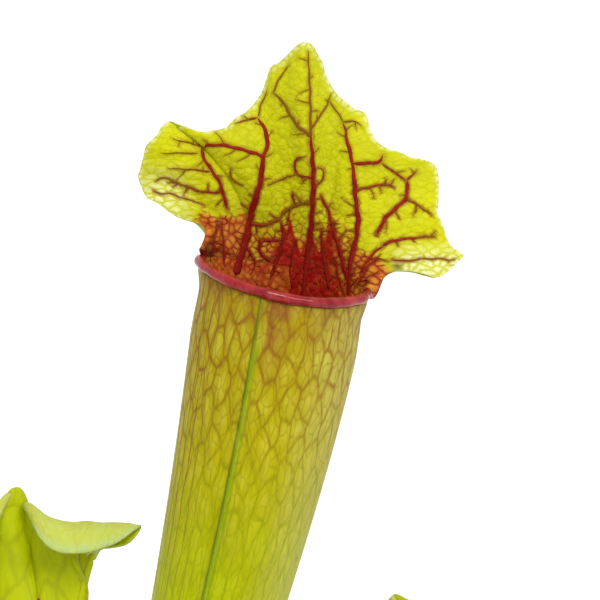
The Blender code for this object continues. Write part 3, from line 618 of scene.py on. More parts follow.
def flushed(x, z):
    """How red the lid's face is: 0.5 is orange-brown and 1 is deep red, as it is over the throat."""
    waver = 0.8 * np.sin(x * 0.9 + 1.0) + 0.7 * np.sin(x * 1.9) + 0.4 * np.sin(x * 4.3 + z)
    left = 0.48 * smooth((-3.6 - x) / 2.4) * smooth((x + 14.6) / 2.6)
    left = left * smooth((11.6 - z + 0.3 * waver) / 1.7)
    middle = 0.16 * smooth((9.6 - z + waver) / 2.6) + 0.3 * smooth((3.5 - z) / 7.0)
    middle = middle + 0.17 * smooth((13.6 - z + 1.4 * waver) / 3.4)
    red = np.exp(-(((x - 3.1) / 5.9) ** 4)) * smooth((8.9 - z + 1.5 * waver) / 3.2)
    beyond = 8.6 - 0.853 * (x - 10.0) - z
    right = 0.42 * smooth((x - 9.5) / 2.0) * smooth((beyond + 0.3 * waver) / 2.0)
    middle = middle * smooth((12.5 - x) / 3.0) * smooth((x + 14.0) / 2.0)
    return np.maximum(np.maximum(left, middle), np.maximum(red, right))


def stained(x, z):
    """Where the net of small veins on the lid's face is red."""
    waver = 0.5 + 0.5 * np.sin(x * 1.7 + 2.0 * np.sin(z * 0.9))
    patch = bump_at(x, z, (2.2, 13.4), (6.2, 4.6)) + 0.7 * bump_at(x, z, (11.5, 9.5), (3.4, 3.6))
    patch = patch + 0.5 * bump_at(x, z, (-5.4, 12.5), (2.4, 4.5))
    patch = patch + 0.5 * bump_at(x, z, (-11.0, 12.5), (3.0, 3.0))
    return np.clip(patch * (0.55 + 0.45 * waver), 0.0, 1.0)


def piece(name, built, made_material):
    """Ends a new piece in millimetres: metres, outward faces, smooth shading and its place."""
    bmesh.ops.recalc_face_normals(built, faces=built.faces)
    bmesh.ops.scale(built, vec=(MM, MM, MM), verts=built.verts)
    mesh = bpy.data.meshes.new(name)
    built.to_mesh(mesh)
    built.free()
    mesh.shade_smooth()
    mesh.materials.append(made_material)
    made = bpy.data.objects.new(name, mesh)
    visual.objects.link(made)
    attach(made, "root")
    return made


def skin_object(name, columns, rows, position, layers, made_material):
    """A grid wrapped into a closed skin, with a float attribute for each layer of values."""
    built = bmesh.new()
    bmesh.ops.create_grid(built, x_segments=columns, y_segments=rows - 1, size=0.5)
    floats = {key: built.verts.layers.float.new(key) for key in layers}
    for vertex in built.verts:
        column = round((vertex.co.x + 0.5) * columns) % columns
        row = round((vertex.co.y + 0.5) * (rows - 1))
        vertex.co = position[column, row]
        for key, values in layers.items():
            vertex[floats[key]] = values[column, row]
    bmesh.ops.remove_doubles(built, verts=built.verts, dist=0.0015)
    bmesh.ops.holes_fill(built, edges=built.edges, sides=0)
    return piece(name, built, made_material)


KEEL_STEPS = ((0.14, 0.97), (0.25, 0.85), (0.34, 0.55), (0.45, 0.25), (0.62, 0.08), (0.9, 0.0))
LAYERS = (
    "net_u", "net_v", "net", "stain", "flush", "green", "inner", "turn",
    "lip", "keel", "seam", "pale", "dusk", "vein", "behind",
)


def leaf_skin(leaf):
    """The whole leaf as one closed skin, with what its colours depend on in attributes.

    net_u, net_v: place in the net of small veins, in cells. net: how strong it is. stain: how red
    its lines are. flush: how red the tissue is. green: how far down the tube. inner: 1 on the
    inside. turn: from the left side of the tube to its right. lip, keel: 1 there. seam: 1
    on the painted shadow along the keel's left side. pale: the bleached lobes and thin edges, and
    the painted highlight that makes a whole face paler. dusk: the painted shade in the
    folds. vein: 1 beside a large vein. behind: 1 under the lid's back, where the tube takes on its
    colour.
    """
    sides, lids = leaf["side_columns"], leaf["lid_columns"]
    tube_rows, lid_rows, inner_rows = leaf["tube_rows"], leaf["lid_rows"], leaf["inner_rows"]
    rows = tube_rows + 2 * lid_rows + inner_rows
    half = [(offset, share, 0.0) for offset, share in KEEL_STEPS]
    angles = np.linspace(math.radians(6.0), math.radians(96.0), sides)
    half += [(0.0, 0.0, angle) for angle in angles]
    front = len(half)
    along = np.linspace(1.0, -1.0, lids)
    columns = 1 + front + lids + front
    offset = np.array([0.0] + [h[0] for h in half] + [0.0] * lids + [-h[0] for h in half[::-1]])
    keel = np.array([1.0] + [h[1] for h in half] + [0.0] * lids + [h[1] for h in half[::-1]])
    base = np.array([0.0] + [h[2] for h in half] + [0.0] * lids + [-h[2] for h in half[::-1]])
    base[1 + front : 1 + front + lids] = lid_theta(along)
    is_lid = np.zeros(columns, dtype=bool)
    is_lid[1 + front : 1 + front + lids] = True
    drop = np.where(is_lid, 0.0, leaf["lip"] * 1.15)

    position = np.zeros((columns, rows, 3))
    layers = {key: np.zeros((columns, rows)) for key in LAYERS}

    def fill(at, **values):
        for key, value in values.items():
            layers[key][at] = value

    wrapped = np.mod(base + math.pi, math.tau) - math.pi

    # the outside of the tube
    s = 1.0 - (1.0 - np.arange(tube_rows) / (tube_rows - 1)) ** 1.35
    radius = tube_radius(leaf, s)
    theta = base[:, None] + np.arcsin(np.clip(offset[:, None] / radius[None, :], -1.0, 1.0))
    height = 0.3 + 0.75 * leaf["keel"] * np.sin(math.pi * np.minimum(1.0, s) ** 0.8) ** 0.7
    ridge = keel[:, None] * height[None, :]
    position[:, :tube_rows] = tube_point(leaf, theta, s[None, :], 0.0, drop[:, None], ridge)
    length = leaf["mouth"][2] - FOOT_HEIGHT
    around = np.mod(theta, math.tau) * leaf["radius"]
    down = (1.0 - s[None, :]) * length
    behind = smooth((np.abs(wrapped[:, None]) - LID_END) / math.radians(34.0))
    on_keel = (keel > 0.0)[:, None]
    outer_at = (slice(None), slice(0, tube_rows))
    fill(outer_at, net_u=around / 1.15, net_v=s[None, :] * length / 3.0 + 40.0, net=1.0)
    fill(outer_at, turn=np.sin(wrapped)[:, None], green=down)
    fill(outer_at, behind=behind * (1.0 - smooth(down / 34.0)))
    fill(outer_at, keel=smooth((0.62 - np.abs(offset)) / 0.3)[:, None] * on_keel)
    # Painted shadow: a dark green line along the keel's left side.
    fill(outer_at, seam=smooth(1.0 - np.abs(offset + 0.56) / 0.26)[:, None] * on_keel)

    # the lid, its back first, and the lip's bead in front
    grid_t = np.append(np.arange(1, lid_rows + 1), np.arange(lid_rows, 0, -1)) / lid_rows
    unique_t = np.arange(0, lid_rows + 1) / lid_rows
    points, normal = lid_surface(leaf, along, unique_t)
    index = np.rint(grid_t * lid_rows).astype(int)
    sign = np.where(np.arange(2 * lid_rows) < lid_rows, 1.0, -1.0)
    edge_thin = 1.0 - 0.55 * smooth((grid_t - 0.9) / 0.1)
    lid_rows_at = slice(tube_rows, tube_rows + 2 * lid_rows)
    lid_at, lip_at = (is_lid, lid_rows_at), (~is_lid, lid_rows_at)
    half_wall = LEAF_WALL / 2 * sign * edge_thin
    position[lid_at] = points[:, index] + normal[:, index] * half_wall[None, :, None]
    mirror = -1.0 if leaf["mirrored"] else 1.0
    drawn_at = np.meshgrid(mirror * along, grid_t, indexing="ij")
    flat_x, flat_z = on_grid(drawn_x, *drawn_at), on_grid(drawn_z, *drawn_at)
    far = np.abs(flat_x) - 10.0
    cells_x = np.where(far > 0.0, np.sign(flat_x) * (10.0 / 1.1 + far / 1.7), flat_x / 1.1)
    behind = sign[None, :] > 0.0
    fill(lid_at, net_u=np.where(behind, flat_x / 1.7 + 70.0, cells_x))
    fill(lid_at, net_v=np.where(behind, flat_z / 2.4 + 70.0, flat_z / 1.05))
    fill(lid_at, net=np.where(behind, 0.28, leaf["face_net"]), inner=(sign < 0.0)[None, :])
    flush = flushed(flat_x, flat_z)
    from_vein = on_grid(drawn_halo, *drawn_at)
    halo = smooth(1.0 - from_vein / 1.3)
    beside = smooth(1.0 - from_vein / 0.42) * leaf["face_net"]
    stain = np.maximum(stained(flat_x, flat_z), 0.75 * halo * smooth((20.0 - flat_z) / 8.0))
    fill(lid_at, vein=np.where(behind, 0.0, beside), flush=np.where(behind, 0.2 * flush, flush))
    fill(lid_at, stain=np.where(behind, 0.0, stain * leaf["face_net"]))
    edge_pale = 0.9 * smooth((grid_t - 0.955) / 0.045)[None, :] * (1.0 - smooth(flush / 0.2))
    left_lobe = smooth((-flat_x - 12.5) / 6.0) * smooth((20.0 - flat_z) / 7.0)
    right_tip = smooth((flat_x - 15.5) / 4.0) * smooth((7.5 - flat_z) / 4.5)
    tip_top = smooth((grid_t - 0.86) / 0.1)[None, :] * smooth((0.3 - np.abs(along)) / 0.15)[:, None]
    # Painted highlight: the last share makes the whole face of a leaf paler, as on the front left
    # pitcher's turned-over margins.
    pale = left_lobe + right_tip + edge_pale + leaf["pale_tip"] * tip_top + leaf["painted_face_highlight"]
    # Painted shade: the fold at the lower left of the lid's face and a spot under its right corner are
    # darkened in the colour.
    dusk = 0.9 * bump_at(flat_x, flat_z, (-11.4, 4.4), (1.9, 1.5))
    dusk = dusk + bump_at(flat_x, flat_z, (17.4, 2.7), (0.7, 0.5))
    fill(lid_at, pale=np.clip(pale, 0.0, 1.0), green=-10.0, dusk=np.where(behind, 0.0, dusk))

    bead_share = (np.arange(2 * lid_rows) + 0.5) / (2 * lid_rows)
    bead_angle = np.radians(-125.0 + bead_share * 330.0)
    lip_theta = wrapped[~is_lid] + np.arcsin(offset[~is_lid] / leaf["radius"])
    swell = smooth((LIP_END - np.abs(lip_theta)) / math.radians(14.0))
    bead = LEAF_WALL * 0.5 + (leaf["lip"] - LEAF_WALL * 0.5) * swell
    bead = bead * (1.0 + 0.06 * np.sin(lip_theta * 9.0) + 0.04 * np.sin(lip_theta * 23.0 + 1.0))
    _, tangent, front_v, side_v = axis_frame(leaf, 1.0)
    radial = front_v * np.cos(lip_theta)[:, None] + side_v * np.sin(lip_theta)[:, None]
    middle = tube_point(leaf, lip_theta, 1.0, LEAF_WALL / 2) + radial * (0.5 * bead)[:, None]
    turn = bead_angle[None, :, None]
    ring = radial[:, None] * np.cos(turn) + tangent * np.sin(turn)
    position[lip_at] = middle[:, None] + ring * bead[:, None, None]
    fill(lip_at, lip=1.0, green=-10.0, net_u=33.0, net_v=33.0)

    # the inside of the tube, from the throat down to the closed foot
    s = 1.0 - 0.97 * (np.arange(inner_rows) / inner_rows) ** 1.6
    radius = tube_radius(leaf, s)
    theta = base[:, None] + np.arcsin(np.clip(offset[:, None] / radius[None, :], -1.0, 1.0))
    inner_at = (slice(None), slice(tube_rows + 2 * lid_rows, rows))
    position[inner_at] = tube_point(leaf, theta, s[None, :], LEAF_WALL, drop[:, None])
    down = (1.0 - s) * length
    turned = np.sin(wrapped)[:, None] * leaf["radius"]
    fade = smooth((60.0 - down) / 40.0)[None, :]
    fill(inner_at, net_u=(wrapped * leaf["radius"] / 1.1)[:, None])
    fill(inner_at, net_v=(3.8 - down)[None, :] / 1.05, net=1.0, inner=1.0, green=-10.0)
    fill(inner_at, flush=flushed(mirror * turned, -(down[None, :] + 2.0)) * fade)

    name = leaf["name"] + "_skin"
    made = skin_object(name, columns, rows, position, layers, leaf_tissue)
    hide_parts(leaf["name"])


# The open pitchers: their tissue
# Thin fleshy leaf. The lid's face is yellow-green with a fine net and a red throat, the tube has
# long cells with an olive to brown-red net that fades down to green, and light shines through both.


class Nodes:
    """A new material, with short calls for the shader nodes that it is made of."""

    def __init__(self, name):
        self.material = bpy.data.materials.new(name)
        self.material.use_nodes = True
        self.tree = self.material.node_tree
        self.tree.nodes.clear()

    def link(self, socket, value):
        if isinstance(value, bpy.types.NodeSocket):
            self.tree.links.new(value, socket)
        else:
            socket.default_value = value

    def add(self, kind, settings=None, **inputs):
        """A node. An input i0 is its first socket, and other inputs go by the socket's name."""
        node = self.tree.nodes.new(kind)
        for key, value in (settings or {}).items():
            setattr(node, key, value)
        for key, value in inputs.items():
            numbered = key[0] == "i" and key[1:].isdigit()
            self.link(node.inputs[int(key[1:]) if numbered else key.replace("_", " ")], value)
        return node

    def attribute(self, name):
        return self.add("ShaderNodeAttribute", {"attribute_name": name}).outputs["Fac"]

    def place(self):
        return self.add("ShaderNodeTexCoord").outputs["Object"]

    def part_of(self, vector, axis):
        return self.add("ShaderNodeSeparateXYZ", None, i0=vector).outputs[axis]

    def noise(self, where, scale, detail):
        made = self.add("ShaderNodeTexNoise", None, Vector=where, Scale=scale, Detail=detail)
        return made.outputs["Fac"]

    def math(self, operation, a, b=0.0):
        return self.add("ShaderNodeMath", {"operation": operation}, i0=a, i1=b).outputs[0]

    def product(self, *shares):
        result = shares[0]
        for share in shares[1:]:
            result = self.math("MULTIPLY", result, share)
        return result

    def vector(self, operation, a, b, c=(0.0, 0.0, 0.0)):
        made = self.add("ShaderNodeVectorMath", {"operation": operation}, i0=a, i1=b, i2=c)
        return made.outputs[0]

    def stretched(self, where, scale_z):
        scale = (1.0, 1.0, scale_z)
        return self.add("ShaderNodeMapping", None, Vector=where, Scale=scale).outputs[0]

    def ramp(self, value, low, high, out_low=0.0, out_high=1.0):
        made = self.add("ShaderNodeMapRange", {"interpolation_type": "SMOOTHSTEP"}, i0=value)
        for k, limit in enumerate((low, high, out_low, out_high)):
            made.inputs[k + 1].default_value = limit
        return made.outputs[0]

    def mix(self, share, a, b):
        node = self.add("ShaderNodeMix", {"data_type": "RGBA"}, i0=share)
        self.link(node.inputs[6], a)
        self.link(node.inputs[7], b)
        return node.outputs[2]

    def bump(self, height, strength, distance):
        made = self.add("ShaderNodeBump", None, Strength=strength, Distance=distance, Height=height)
        return made.outputs[0]

    def finish(self, colour, roughness, through=0.0, **more):
        """Ends the material: its surface, and the share of light that shines through it."""
        more.update(Base_Color=colour, Roughness=roughness)
        surface = self.add("ShaderNodeBsdfPrincipled", None, **more).outputs[0]
        if through > 0.0:
            light = self.add("ShaderNodeBsdfTranslucent", None, Color=colour).outputs[0]
            surface = self.add("ShaderNodeMixShader", None, i0=through, i1=surface, i2=light).outputs[0]
        self.add("ShaderNodeOutputMaterial", None, Surface=surface)
        return self.material


def rgb(r, g, b):
    """A colour as seen on the screen, 0 to 255, as the shader's linear values."""
    shown = (c / 255.0 for c in (r, g, b))
    return tuple(c / 12.92 if c < 0.0404 else ((c + 0.055) / 1.055) ** 2.4 for c in shown) + (1.0,)


def leaf_material():
    n = Nodes("leaf tissue")
    u, v, net, stain = (n.attribute(key) for key in ("net_u", "net_v", "net", "stain"))
    flush, green, inner, turn = (n.attribute(key) for key in ("flush", "green", "inner", "turn"))
    lip, keel, seam, pale = (n.attribute(key) for key in ("lip", "keel", "seam", "pale"))
    dusk, vein, behind = (n.attribute(key) for key in ("dusk", "vein", "behind"))
    place = n.add("ShaderNodeCombineXYZ", None, X=u, Y=v).outputs[0]
    where = n.place()
    cloud = n.noise(where, 140.0, 3.0)
    fine_cloud = n.noise(where, 1100.0, 4.0)
    patchy = n.noise(where, 420.0, 2.0)
    flat = {"noise_dimensions": "2D"}
    sway = n.add("ShaderNodeTexNoise", flat, Vector=place, Scale=0.35, Detail=2.5).outputs["Color"]
    swayed = n.vector("MULTIPLY_ADD", sway, (1.3, 0.9, 0.0), place)
    # turned by an eighth, so that the cells of the net end in points and not in level lines
    eighth = (0.0, 0.0, math.pi / 4)
    turned = n.add("ShaderNodeMapping", None, Vector=swayed, Rotation=eighth).outputs[0]
    wide = n.vector("MULTIPLY", turned, (0.5, 0.5, 1.0))

    def cells(where, feature, randomness):
        settings = {"voronoi_dimensions": "2D", "feature": feature}
        inputs = {"Vector": where, "Scale": 1.0, "Randomness": randomness}
        return n.add("ShaderNodeTexVoronoi", settings, **inputs).outputs

    fine = cells(turned, "DISTANCE_TO_EDGE", 0.8)["Distance"]
    broad = cells(wide, "DISTANCE_TO_EDGE", 0.75)["Distance"]
    heart = cells(turned, "F1", 0.8)
    shade = n.add("ShaderNodeSeparateColor", None, i0=heart["Color"]).outputs[0]
    lane = n.math("FRACT", n.product(n.part_of(swayed, 0), 0.6))
    long_line = n.ramp(n.math("ABSOLUTE", n.math("SUBTRACT", lane, 0.5)), 0.39, 0.48)
    thin_line = n.ramp(fine, 0.0, 0.14, 1.0, 0.0)
    soft_line = n.ramp(broad, 0.0, 0.14, 1.0, 0.0)
    core_line = n.ramp(broad, 0.0, 0.065, 1.0, 0.0)
    dome = n.ramp(cells(wide, "F1", 0.75)["Distance"], 0.05, 0.62, 1.0, 0.0)
    small_dome = n.ramp(heart["Distance"], 0.0, 0.7, 1.0, 0.0)

    # the outside of the tube: yellow-brown under the lip and green lower down, with pale domes
    tube = n.mix(n.ramp(green, 0.0, 24.0), rgb(166, 144, 6), rgb(184, 174, 2))
    tube = n.mix(n.ramp(green, 20.0, 50.0), tube, rgb(188, 202, 0))
    tube = n.mix(n.ramp(green, 60.0, 150.0), tube, rgb(132, 160, 24))
    tube = n.mix(n.ramp(cloud, 0.35, 0.75, 0.0, 0.4), tube, rgb(162, 156, 6))
    high = n.ramp(green, 0.0, 60.0, 1.0, 0.25)
    domes = n.product(dome, n.ramp(patchy, 0.35, 0.65, 0.25, 1.0), high, 0.55)
    tube = n.mix(domes, tube, rgb(214, 206, 66))
    # Painted sheen: the tube is paler towards its right side and at its left edge, as its sides are
    # seen from the front.
    tube = n.mix(n.ramp(turn, 0.45, 1.0, 0.0, 0.45), tube, rgb(196, 192, 104))
    tube = n.mix(n.ramp(turn, -1.0, -0.78, 0.5, 0.0), tube, rgb(202, 202, 90))
    lines = n.product(n.ramp(green, 14.0, 38.0, 1.0, 0.1), n.ramp(turn, -0.9, 0.1, 1.0, 0.3))
    line_tube = n.mix(n.ramp(green, 12.0, 36.0), rgb(142, 104, 18), rgb(136, 148, 2))
    tube = n.mix(n.product(thin_line, 0.45, high), tube, line_tube)
    soft_share = n.product(soft_line, n.ramp(patchy, 0.3, 0.65, 0.4, 0.75), high)
    tube = n.mix(soft_share, tube, line_tube)
    tube = n.mix(n.product(core_line, 0.55, lines), tube, rgb(134, 68, 22))
    lanes = n.product(long_line, n.ramp(green, 10.0, 45.0, 0.1, 0.4))
    tube = n.mix(lanes, tube, rgb(132, 140, 4))
    red_lane = n.product(n.ramp(turn, -0.85, -0.2, 0.75, 0.0), n.ramp(green, 34.0, 62.0, 1.0, 0.0))
    tube = n.mix(n.product(long_line, red_lane), tube, rgb(150, 70, 22))
    under_lip = n.product(n.ramp(green, 1.0, 9.0, 0.4, 0.0), n.ramp(patchy, 0.35, 0.6))
    tube = n.mix(under_lip, tube, rgb(138, 84, 40))
    # Painted shade: a brownish-red patch right of the keel, just under the lip.
    shade_by_keel = n.product(n.ramp(turn, 0.0, 0.1), n.ramp(turn, 0.16, 0.42, 1.0, 0.0))
    shade_by_keel = n.product(shade_by_keel, n.ramp(green, 2.0, 16.0, 0.65, 0.0))
    shade_by_keel = n.product(shade_by_keel, n.ramp(patchy, 0.3, 0.6, 0.3, 1.0))
    tube = n.mix(shade_by_keel, tube, rgb(136, 62, 34))

    # the back of the lid, which the tube takes on under it
    back = n.mix(n.ramp(cloud, 0.3, 0.75), rgb(180, 190, 4), rgb(162, 174, 6))
    back = n.mix(n.product(soft_line, 0.3), back, rgb(128, 128, 14))
    fringe = n.product(n.math("SUBTRACT", patchy, 0.5), n.ramp(behind, 0.0, 0.3, 0.0, 0.5))
    ragged = n.ramp(n.math("ADD", behind, fringe), 0.05, 0.95)
    is_back = n.math("MAXIMUM", n.ramp(green, -8.0, -2.0, 1.0, 0.0), ragged)
    outside = n.mix(is_back, tube, back)
    outside = n.mix(n.product(keel, n.ramp(green, 2.0, 10.0, 0.15, 0.6)), outside, rgb(134, 166, 14))
    # Painted shadow: the dark green line at the keel's left side.
    outside = n.mix(n.product(seam, 0.75), outside, rgb(70, 100, 12))
    outside = n.mix(n.ramp(green, 172.0, 212.0, 0.0, 0.75), outside, rgb(150, 84, 48))

    # the lid's face and the throat
    face = n.mix(n.ramp(cloud, 0.3, 0.75), rgb(204, 202, 6), rgb(188, 188, 8))
    face = n.mix(n.product(shade, 0.3, small_dome), face, rgb(222, 214, 60))
    without_net = n.math("SUBTRACT", 1.0, net)
    bleached = n.math("MAXIMUM", n.ramp(fine, 0.05, 0.3, 0.25, 1.0), without_net)
    bleach = n.mix(net, rgb(160, 186, 110), rgb(226, 228, 160))
    face = n.mix(n.product(pale, bleached), face, bleach)
    brown = n.mix(n.product(small_dome, 0.7), rgb(188, 84, 32), rgb(218, 148, 46))
    # Painted highlight: the domes of the cells are lighter in the deep red of the throat.
    deep = n.mix(n.product(small_dome, 0.6), rgb(150, 12, 12), rgb(184, 26, 22))
    grain = n.product(n.math("SUBTRACT", fine_cloud, 0.5), n.ramp(flush, 0.0, 0.1, 0.0, 0.55))
    grainy = n.math("ADD", flush, grain)
    throat = n.mix(n.ramp(grainy, 0.06, 0.46), face, brown)
    throat = n.mix(n.ramp(grainy, 0.46, 0.74), throat, deep)
    speck = n.mix(n.ramp(fine_cloud, 0.5, 0.64, 0.0, 0.6), throat, rgb(206, 140, 30))
    specked = n.product(n.ramp(flush, 0.05, 0.4, 0.0, 0.45), n.ramp(flush, 0.5, 0.8, 1.0, 0.15))
    throat = n.mix(specked, throat, speck)
    red_line = n.math("MAXIMUM", stain, n.ramp(flush, 0.02, 0.3))
    red_line = n.product(red_line, n.ramp(patchy, 0.36, 0.58, 0.25, 1.0))
    line_face = n.mix(pale, rgb(158, 168, 14), rgb(190, 194, 40))
    line_face = n.mix(red_line, line_face, rgb(132, 16, 12))
    line_share = n.product(red_line, n.ramp(flush, 0.4, 0.8, 0.7, 0.3))
    line_share = n.math("MAXIMUM", line_share, n.product(pale, 0.4))
    line_share = n.math("MAXIMUM", line_share, 0.22)
    throat = n.mix(n.product(thin_line, line_share, net), throat, line_face)
    throat = n.mix(n.product(core_line, line_share, net), throat, line_face)
    bold = n.product(n.ramp(fine, 0.06, 0.2, 1.0, 0.0), n.ramp(flush, 0.06, 0.3, 0.0, 0.5))
    bold = n.product(bold, n.ramp(flush, 0.45, 0.7, 1.0, 0.2))
    throat = n.mix(bold, throat, rgb(118, 14, 12))
    throat = n.mix(n.product(vein, n.ramp(stain, 0.0, 0.5, 0.5, 0.85)), throat, rgb(128, 30, 12))
    # Painted shade: the folds are darkened to a dark red-brown.
    throat = n.mix(n.product(dusk, 0.8), throat, rgb(70, 14, 12))

    colour = n.mix(inner, outside, throat)
    lip_red = n.mix(n.ramp(cloud, 0.35, 0.7), rgb(142, 22, 30), rgb(112, 4, 18))
    lip_red = n.mix(n.ramp(patchy, 0.42, 0.62, 0.0, 0.35), lip_red, rgb(160, 58, 52))
    lip_red = n.mix(n.ramp(fine_cloud, 0.52, 0.7, 0.0, 0.6), lip_red, rgb(88, 6, 14))
    colour = n.mix(lip, colour, lip_red)

    raised = n.math("SUBTRACT", n.product(small_dome, 0.3), n.product(thin_line, 0.15))
    raised = n.math("ADD", raised, n.product(dome, net, 0.6))
    raised = n.math("ADD", raised, n.product(fine_cloud, 0.12))
    raised = n.product(raised, n.math("SUBTRACT", 1.0, n.product(lip, 0.9)))
    bump = n.bump(raised, 0.5, 0.0004)
    surface = n.add("ShaderNodeBsdfPrincipled", None, Base_Color=colour, Roughness=0.46, Normal=bump)
    for name, value in (("Specular IOR Level", 0.09), ("Sheen Weight", 0.02), ("Sheen Roughness", 0.4)):
        surface.inputs[name].default_value = value
    through = n.add("ShaderNodeBsdfTranslucent", None, Color=colour, Normal=bump).outputs[0]
    wet = n.add("ShaderNodeBsdfPrincipled", None, Base_Color=colour, Roughness=0.17, Normal=bump)
    wet.inputs["Specular IOR Level"].default_value = 0.26
    thin = n.add("ShaderNodeMixShader", None, i0=0.3, i1=surface.outputs[0], i2=through).outputs[0]
    both = n.add("ShaderNodeMixShader", None, i0=lip, i1=thin, i2=wet.outputs[0]).outputs[0]
    n.add("ShaderNodeOutputMaterial", None, Surface=both)
    return n.material


leaf_tissue = leaf_material()


def strand(built, layer, points, normals, widths, height, tone):
    """A strand as a closed tube of eight sides, flat to the surface it lies on."""
    rings = len(points)
    heights = np.broadcast_to(height, rings)
    sides = 8
    made = bmesh.ops.create_grid(built, x_segments=sides, y_segments=rings - 1, size=0.5)["verts"]
    along = np.gradient(points, axis=0)
    across = unit(np.cross(along, normals))
    taper = np.minimum(np.arange(rings) / 1.0, np.arange(rings)[::-1] / 3.0)
    taper = np.sqrt(np.clip(taper, 0.0, 1.0))
    for vertex in made:
        k = round((vertex.co.x + 0.5) * sides) % sides
        row = round((vertex.co.y + 0.5) * (rings - 1))
        angle = math.tau * k / sides
        size = taper[row]
        offset = across[row] * (math.cos(angle) * widths[row] * 0.5 * size)
        offset = offset + normals[row] * (math.sin(angle) * heights[row] * size)
        vertex.co = points[row] + offset
        vertex[layer] = tone[row]
    bmesh.ops.remove_doubles(built, verts=made, dist=0.0008)


def lip_ends(leaf):
    """The rolled lip runs on up the lid's two margins as a bead that dies out."""
    built = bmesh.new()
    layer = built.verts.layers.float.new("lip")
    for end, reach in ((-1.0, 0.06), (1.0, 0.09)):
        along = end * (1.0 - reach * np.linspace(0.0, 1.0, 26))
        points, normal = lid_surface(leaf, along, np.array((0.9, 1.0)))
        on_lip = tube_point(leaf, end * (LIP_END - np.array((0.3, 0.2, 0.1))), 1.0, LEAF_WALL / 2)
        path = np.vstack([on_lip, points[:, 1]])
        up = np.vstack([normal[:1, 1].repeat(3, axis=0), normal[:, 1]])
        thick = leaf["lip"] * 0.8 * (1.0 - 0.72 * np.linspace(0.0, 1.0, 29) ** 1.2)
        strand(built, layer, path, up, thick * 2.0, thick, np.ones(29))
    piece(leaf["name"] + "_lip_ends", built, leaf_tissue)


for leaf in PITCHERS:
    leaf_skin(leaf)
    lip_ends(leaf)

# The veins on the lids
# The larger veins stand a little proud of the lid's face and are dark red. Each is a thin strand
# laid on the lid, half sunk in it. The routes are drawn in pixels of the photograph.


def vein_material():
    n = Nodes("vein")
    tone = n.attribute("tone")
    mottle = n.noise(n.place(), 1300.0, 2.0)
    colour = n.mix(n.ramp(tone, 0.0, 0.5), rgb(112, 10, 4), rgb(118, 26, 8))
    colour = n.mix(n.ramp(tone, 0.5, 1.0), colour, rgb(108, 78, 12))
    colour = n.mix(n.ramp(mottle, 0.42, 0.7, 0.0, 0.35), colour, rgb(150, 40, 14))
    return n.finish(colour, 0.6, Specular_IOR_Level=0.08)


vein_red = vein_material()
# How far a vein's middle line lies outside the lid's own surface, in mm.
VEIN_LIFT = 0.04


def lid_veins(leaf, face_sign, routes, name, height):
    """Lays routes on one face of a leaf's lid."""
    points, normal = lid_surface(leaf, DRAWN_ALONG, DRAWN_T)
    mirror = -1.0 if leaf["mirrored"] else 1.0
    size = leaf["radius"] / TALL["radius"]
    shift = random.Random(leaf["name"] + "veins")
    sway = [shift.uniform(0.0, math.tau) for _ in range(3)]
    amount = 0.0 if leaf is TALL else 0.03
    built = bmesh.new()
    layer = built.verts.layers.float.new("tone")
    for wide, narrow, along, t in routes:
        along = mirror * along + amount * np.sin(6.0 * t + sway[0])
        t = t + amount * np.sin(9.0 * along + sway[1]) * smooth(t / 0.3)
        if leaf is REAR_VIEW and face_sign < 0.0:
            t = np.where(t > 0.0, t * 0.55, t)
        along, t = np.clip(along, -0.985, 0.985), np.clip(t, DRAWN_T[0], 0.985)
        middle, up = on_grid(points, along, t), unit(on_grid(normal, along, t)) * face_sign
        thin = 1.0 - 0.55 * smooth((t - 0.9) / 0.1)
        at = np.linspace(0.0, 1.0, len(t))
        widths = (wide + (narrow - wide) * at) * (0.35 + 0.65 * size)
        widths = widths * (1.0 + 0.16 * np.sin(at * 31.0 + wide * 60.0))
        tone = np.clip(1.0 - widths * 1.6 + 0.3 * smooth((t - 0.35) / 0.5), 0.0, 1.0)
        tone = tone * smooth((t + 0.05) / 0.4)
        if face_sign < 0.0 and abs(along[0]) < 0.06 and not leaf["mirrored"]:
            tone = np.maximum(tone, smooth((t - 0.1) / 0.25))
        centre = middle + up * (LEAF_WALL / 2 * thin + VEIN_LIFT)[:, None]
        strand(built, layer, centre, up, widths, height, tone)
    piece(name, built, vein_red)


back_t = np.linspace(-0.4, 0.75, 60)
midrib_behind = [(0.7, 0.3, 0.01 * np.sin(back_t * 14.0), back_t)]
for leaf in PITCHERS:
    thick = 0.35 if leaf is REAR_VIEW else 0.1
    lid_veins(leaf, -1.0, laid_routes, leaf["name"] + "_face_veins", 0.11)
    lid_veins(leaf, 1.0, midrib_behind, leaf["name"] + "_back_veins", thick)

# The young pitchers
# Two leaves that are still shut: slim green tubes with the lid folded to a beak. They keep the
# solids' shape, softened by a subdivision.


def young_material():
    n = Nodes("young leaf")
    where = n.place()
    to_edge = {"feature": "DISTANCE_TO_EDGE"}
    veins = n.add("ShaderNodeTexVoronoi", to_edge, Vector=n.stretched(where, 0.22), Scale=620.0)
    colour = n.mix(n.ramp(n.part_of(where, 2), 0.1, 0.2), rgb(176, 188, 90), rgb(164, 180, 34))
    lines = n.ramp(veins.outputs["Distance"], 0.0, 0.09, 0.5, 0.0)
    return n.finish(n.mix(lines, colour, rgb(140, 118, 34)), 0.42, 0.2)


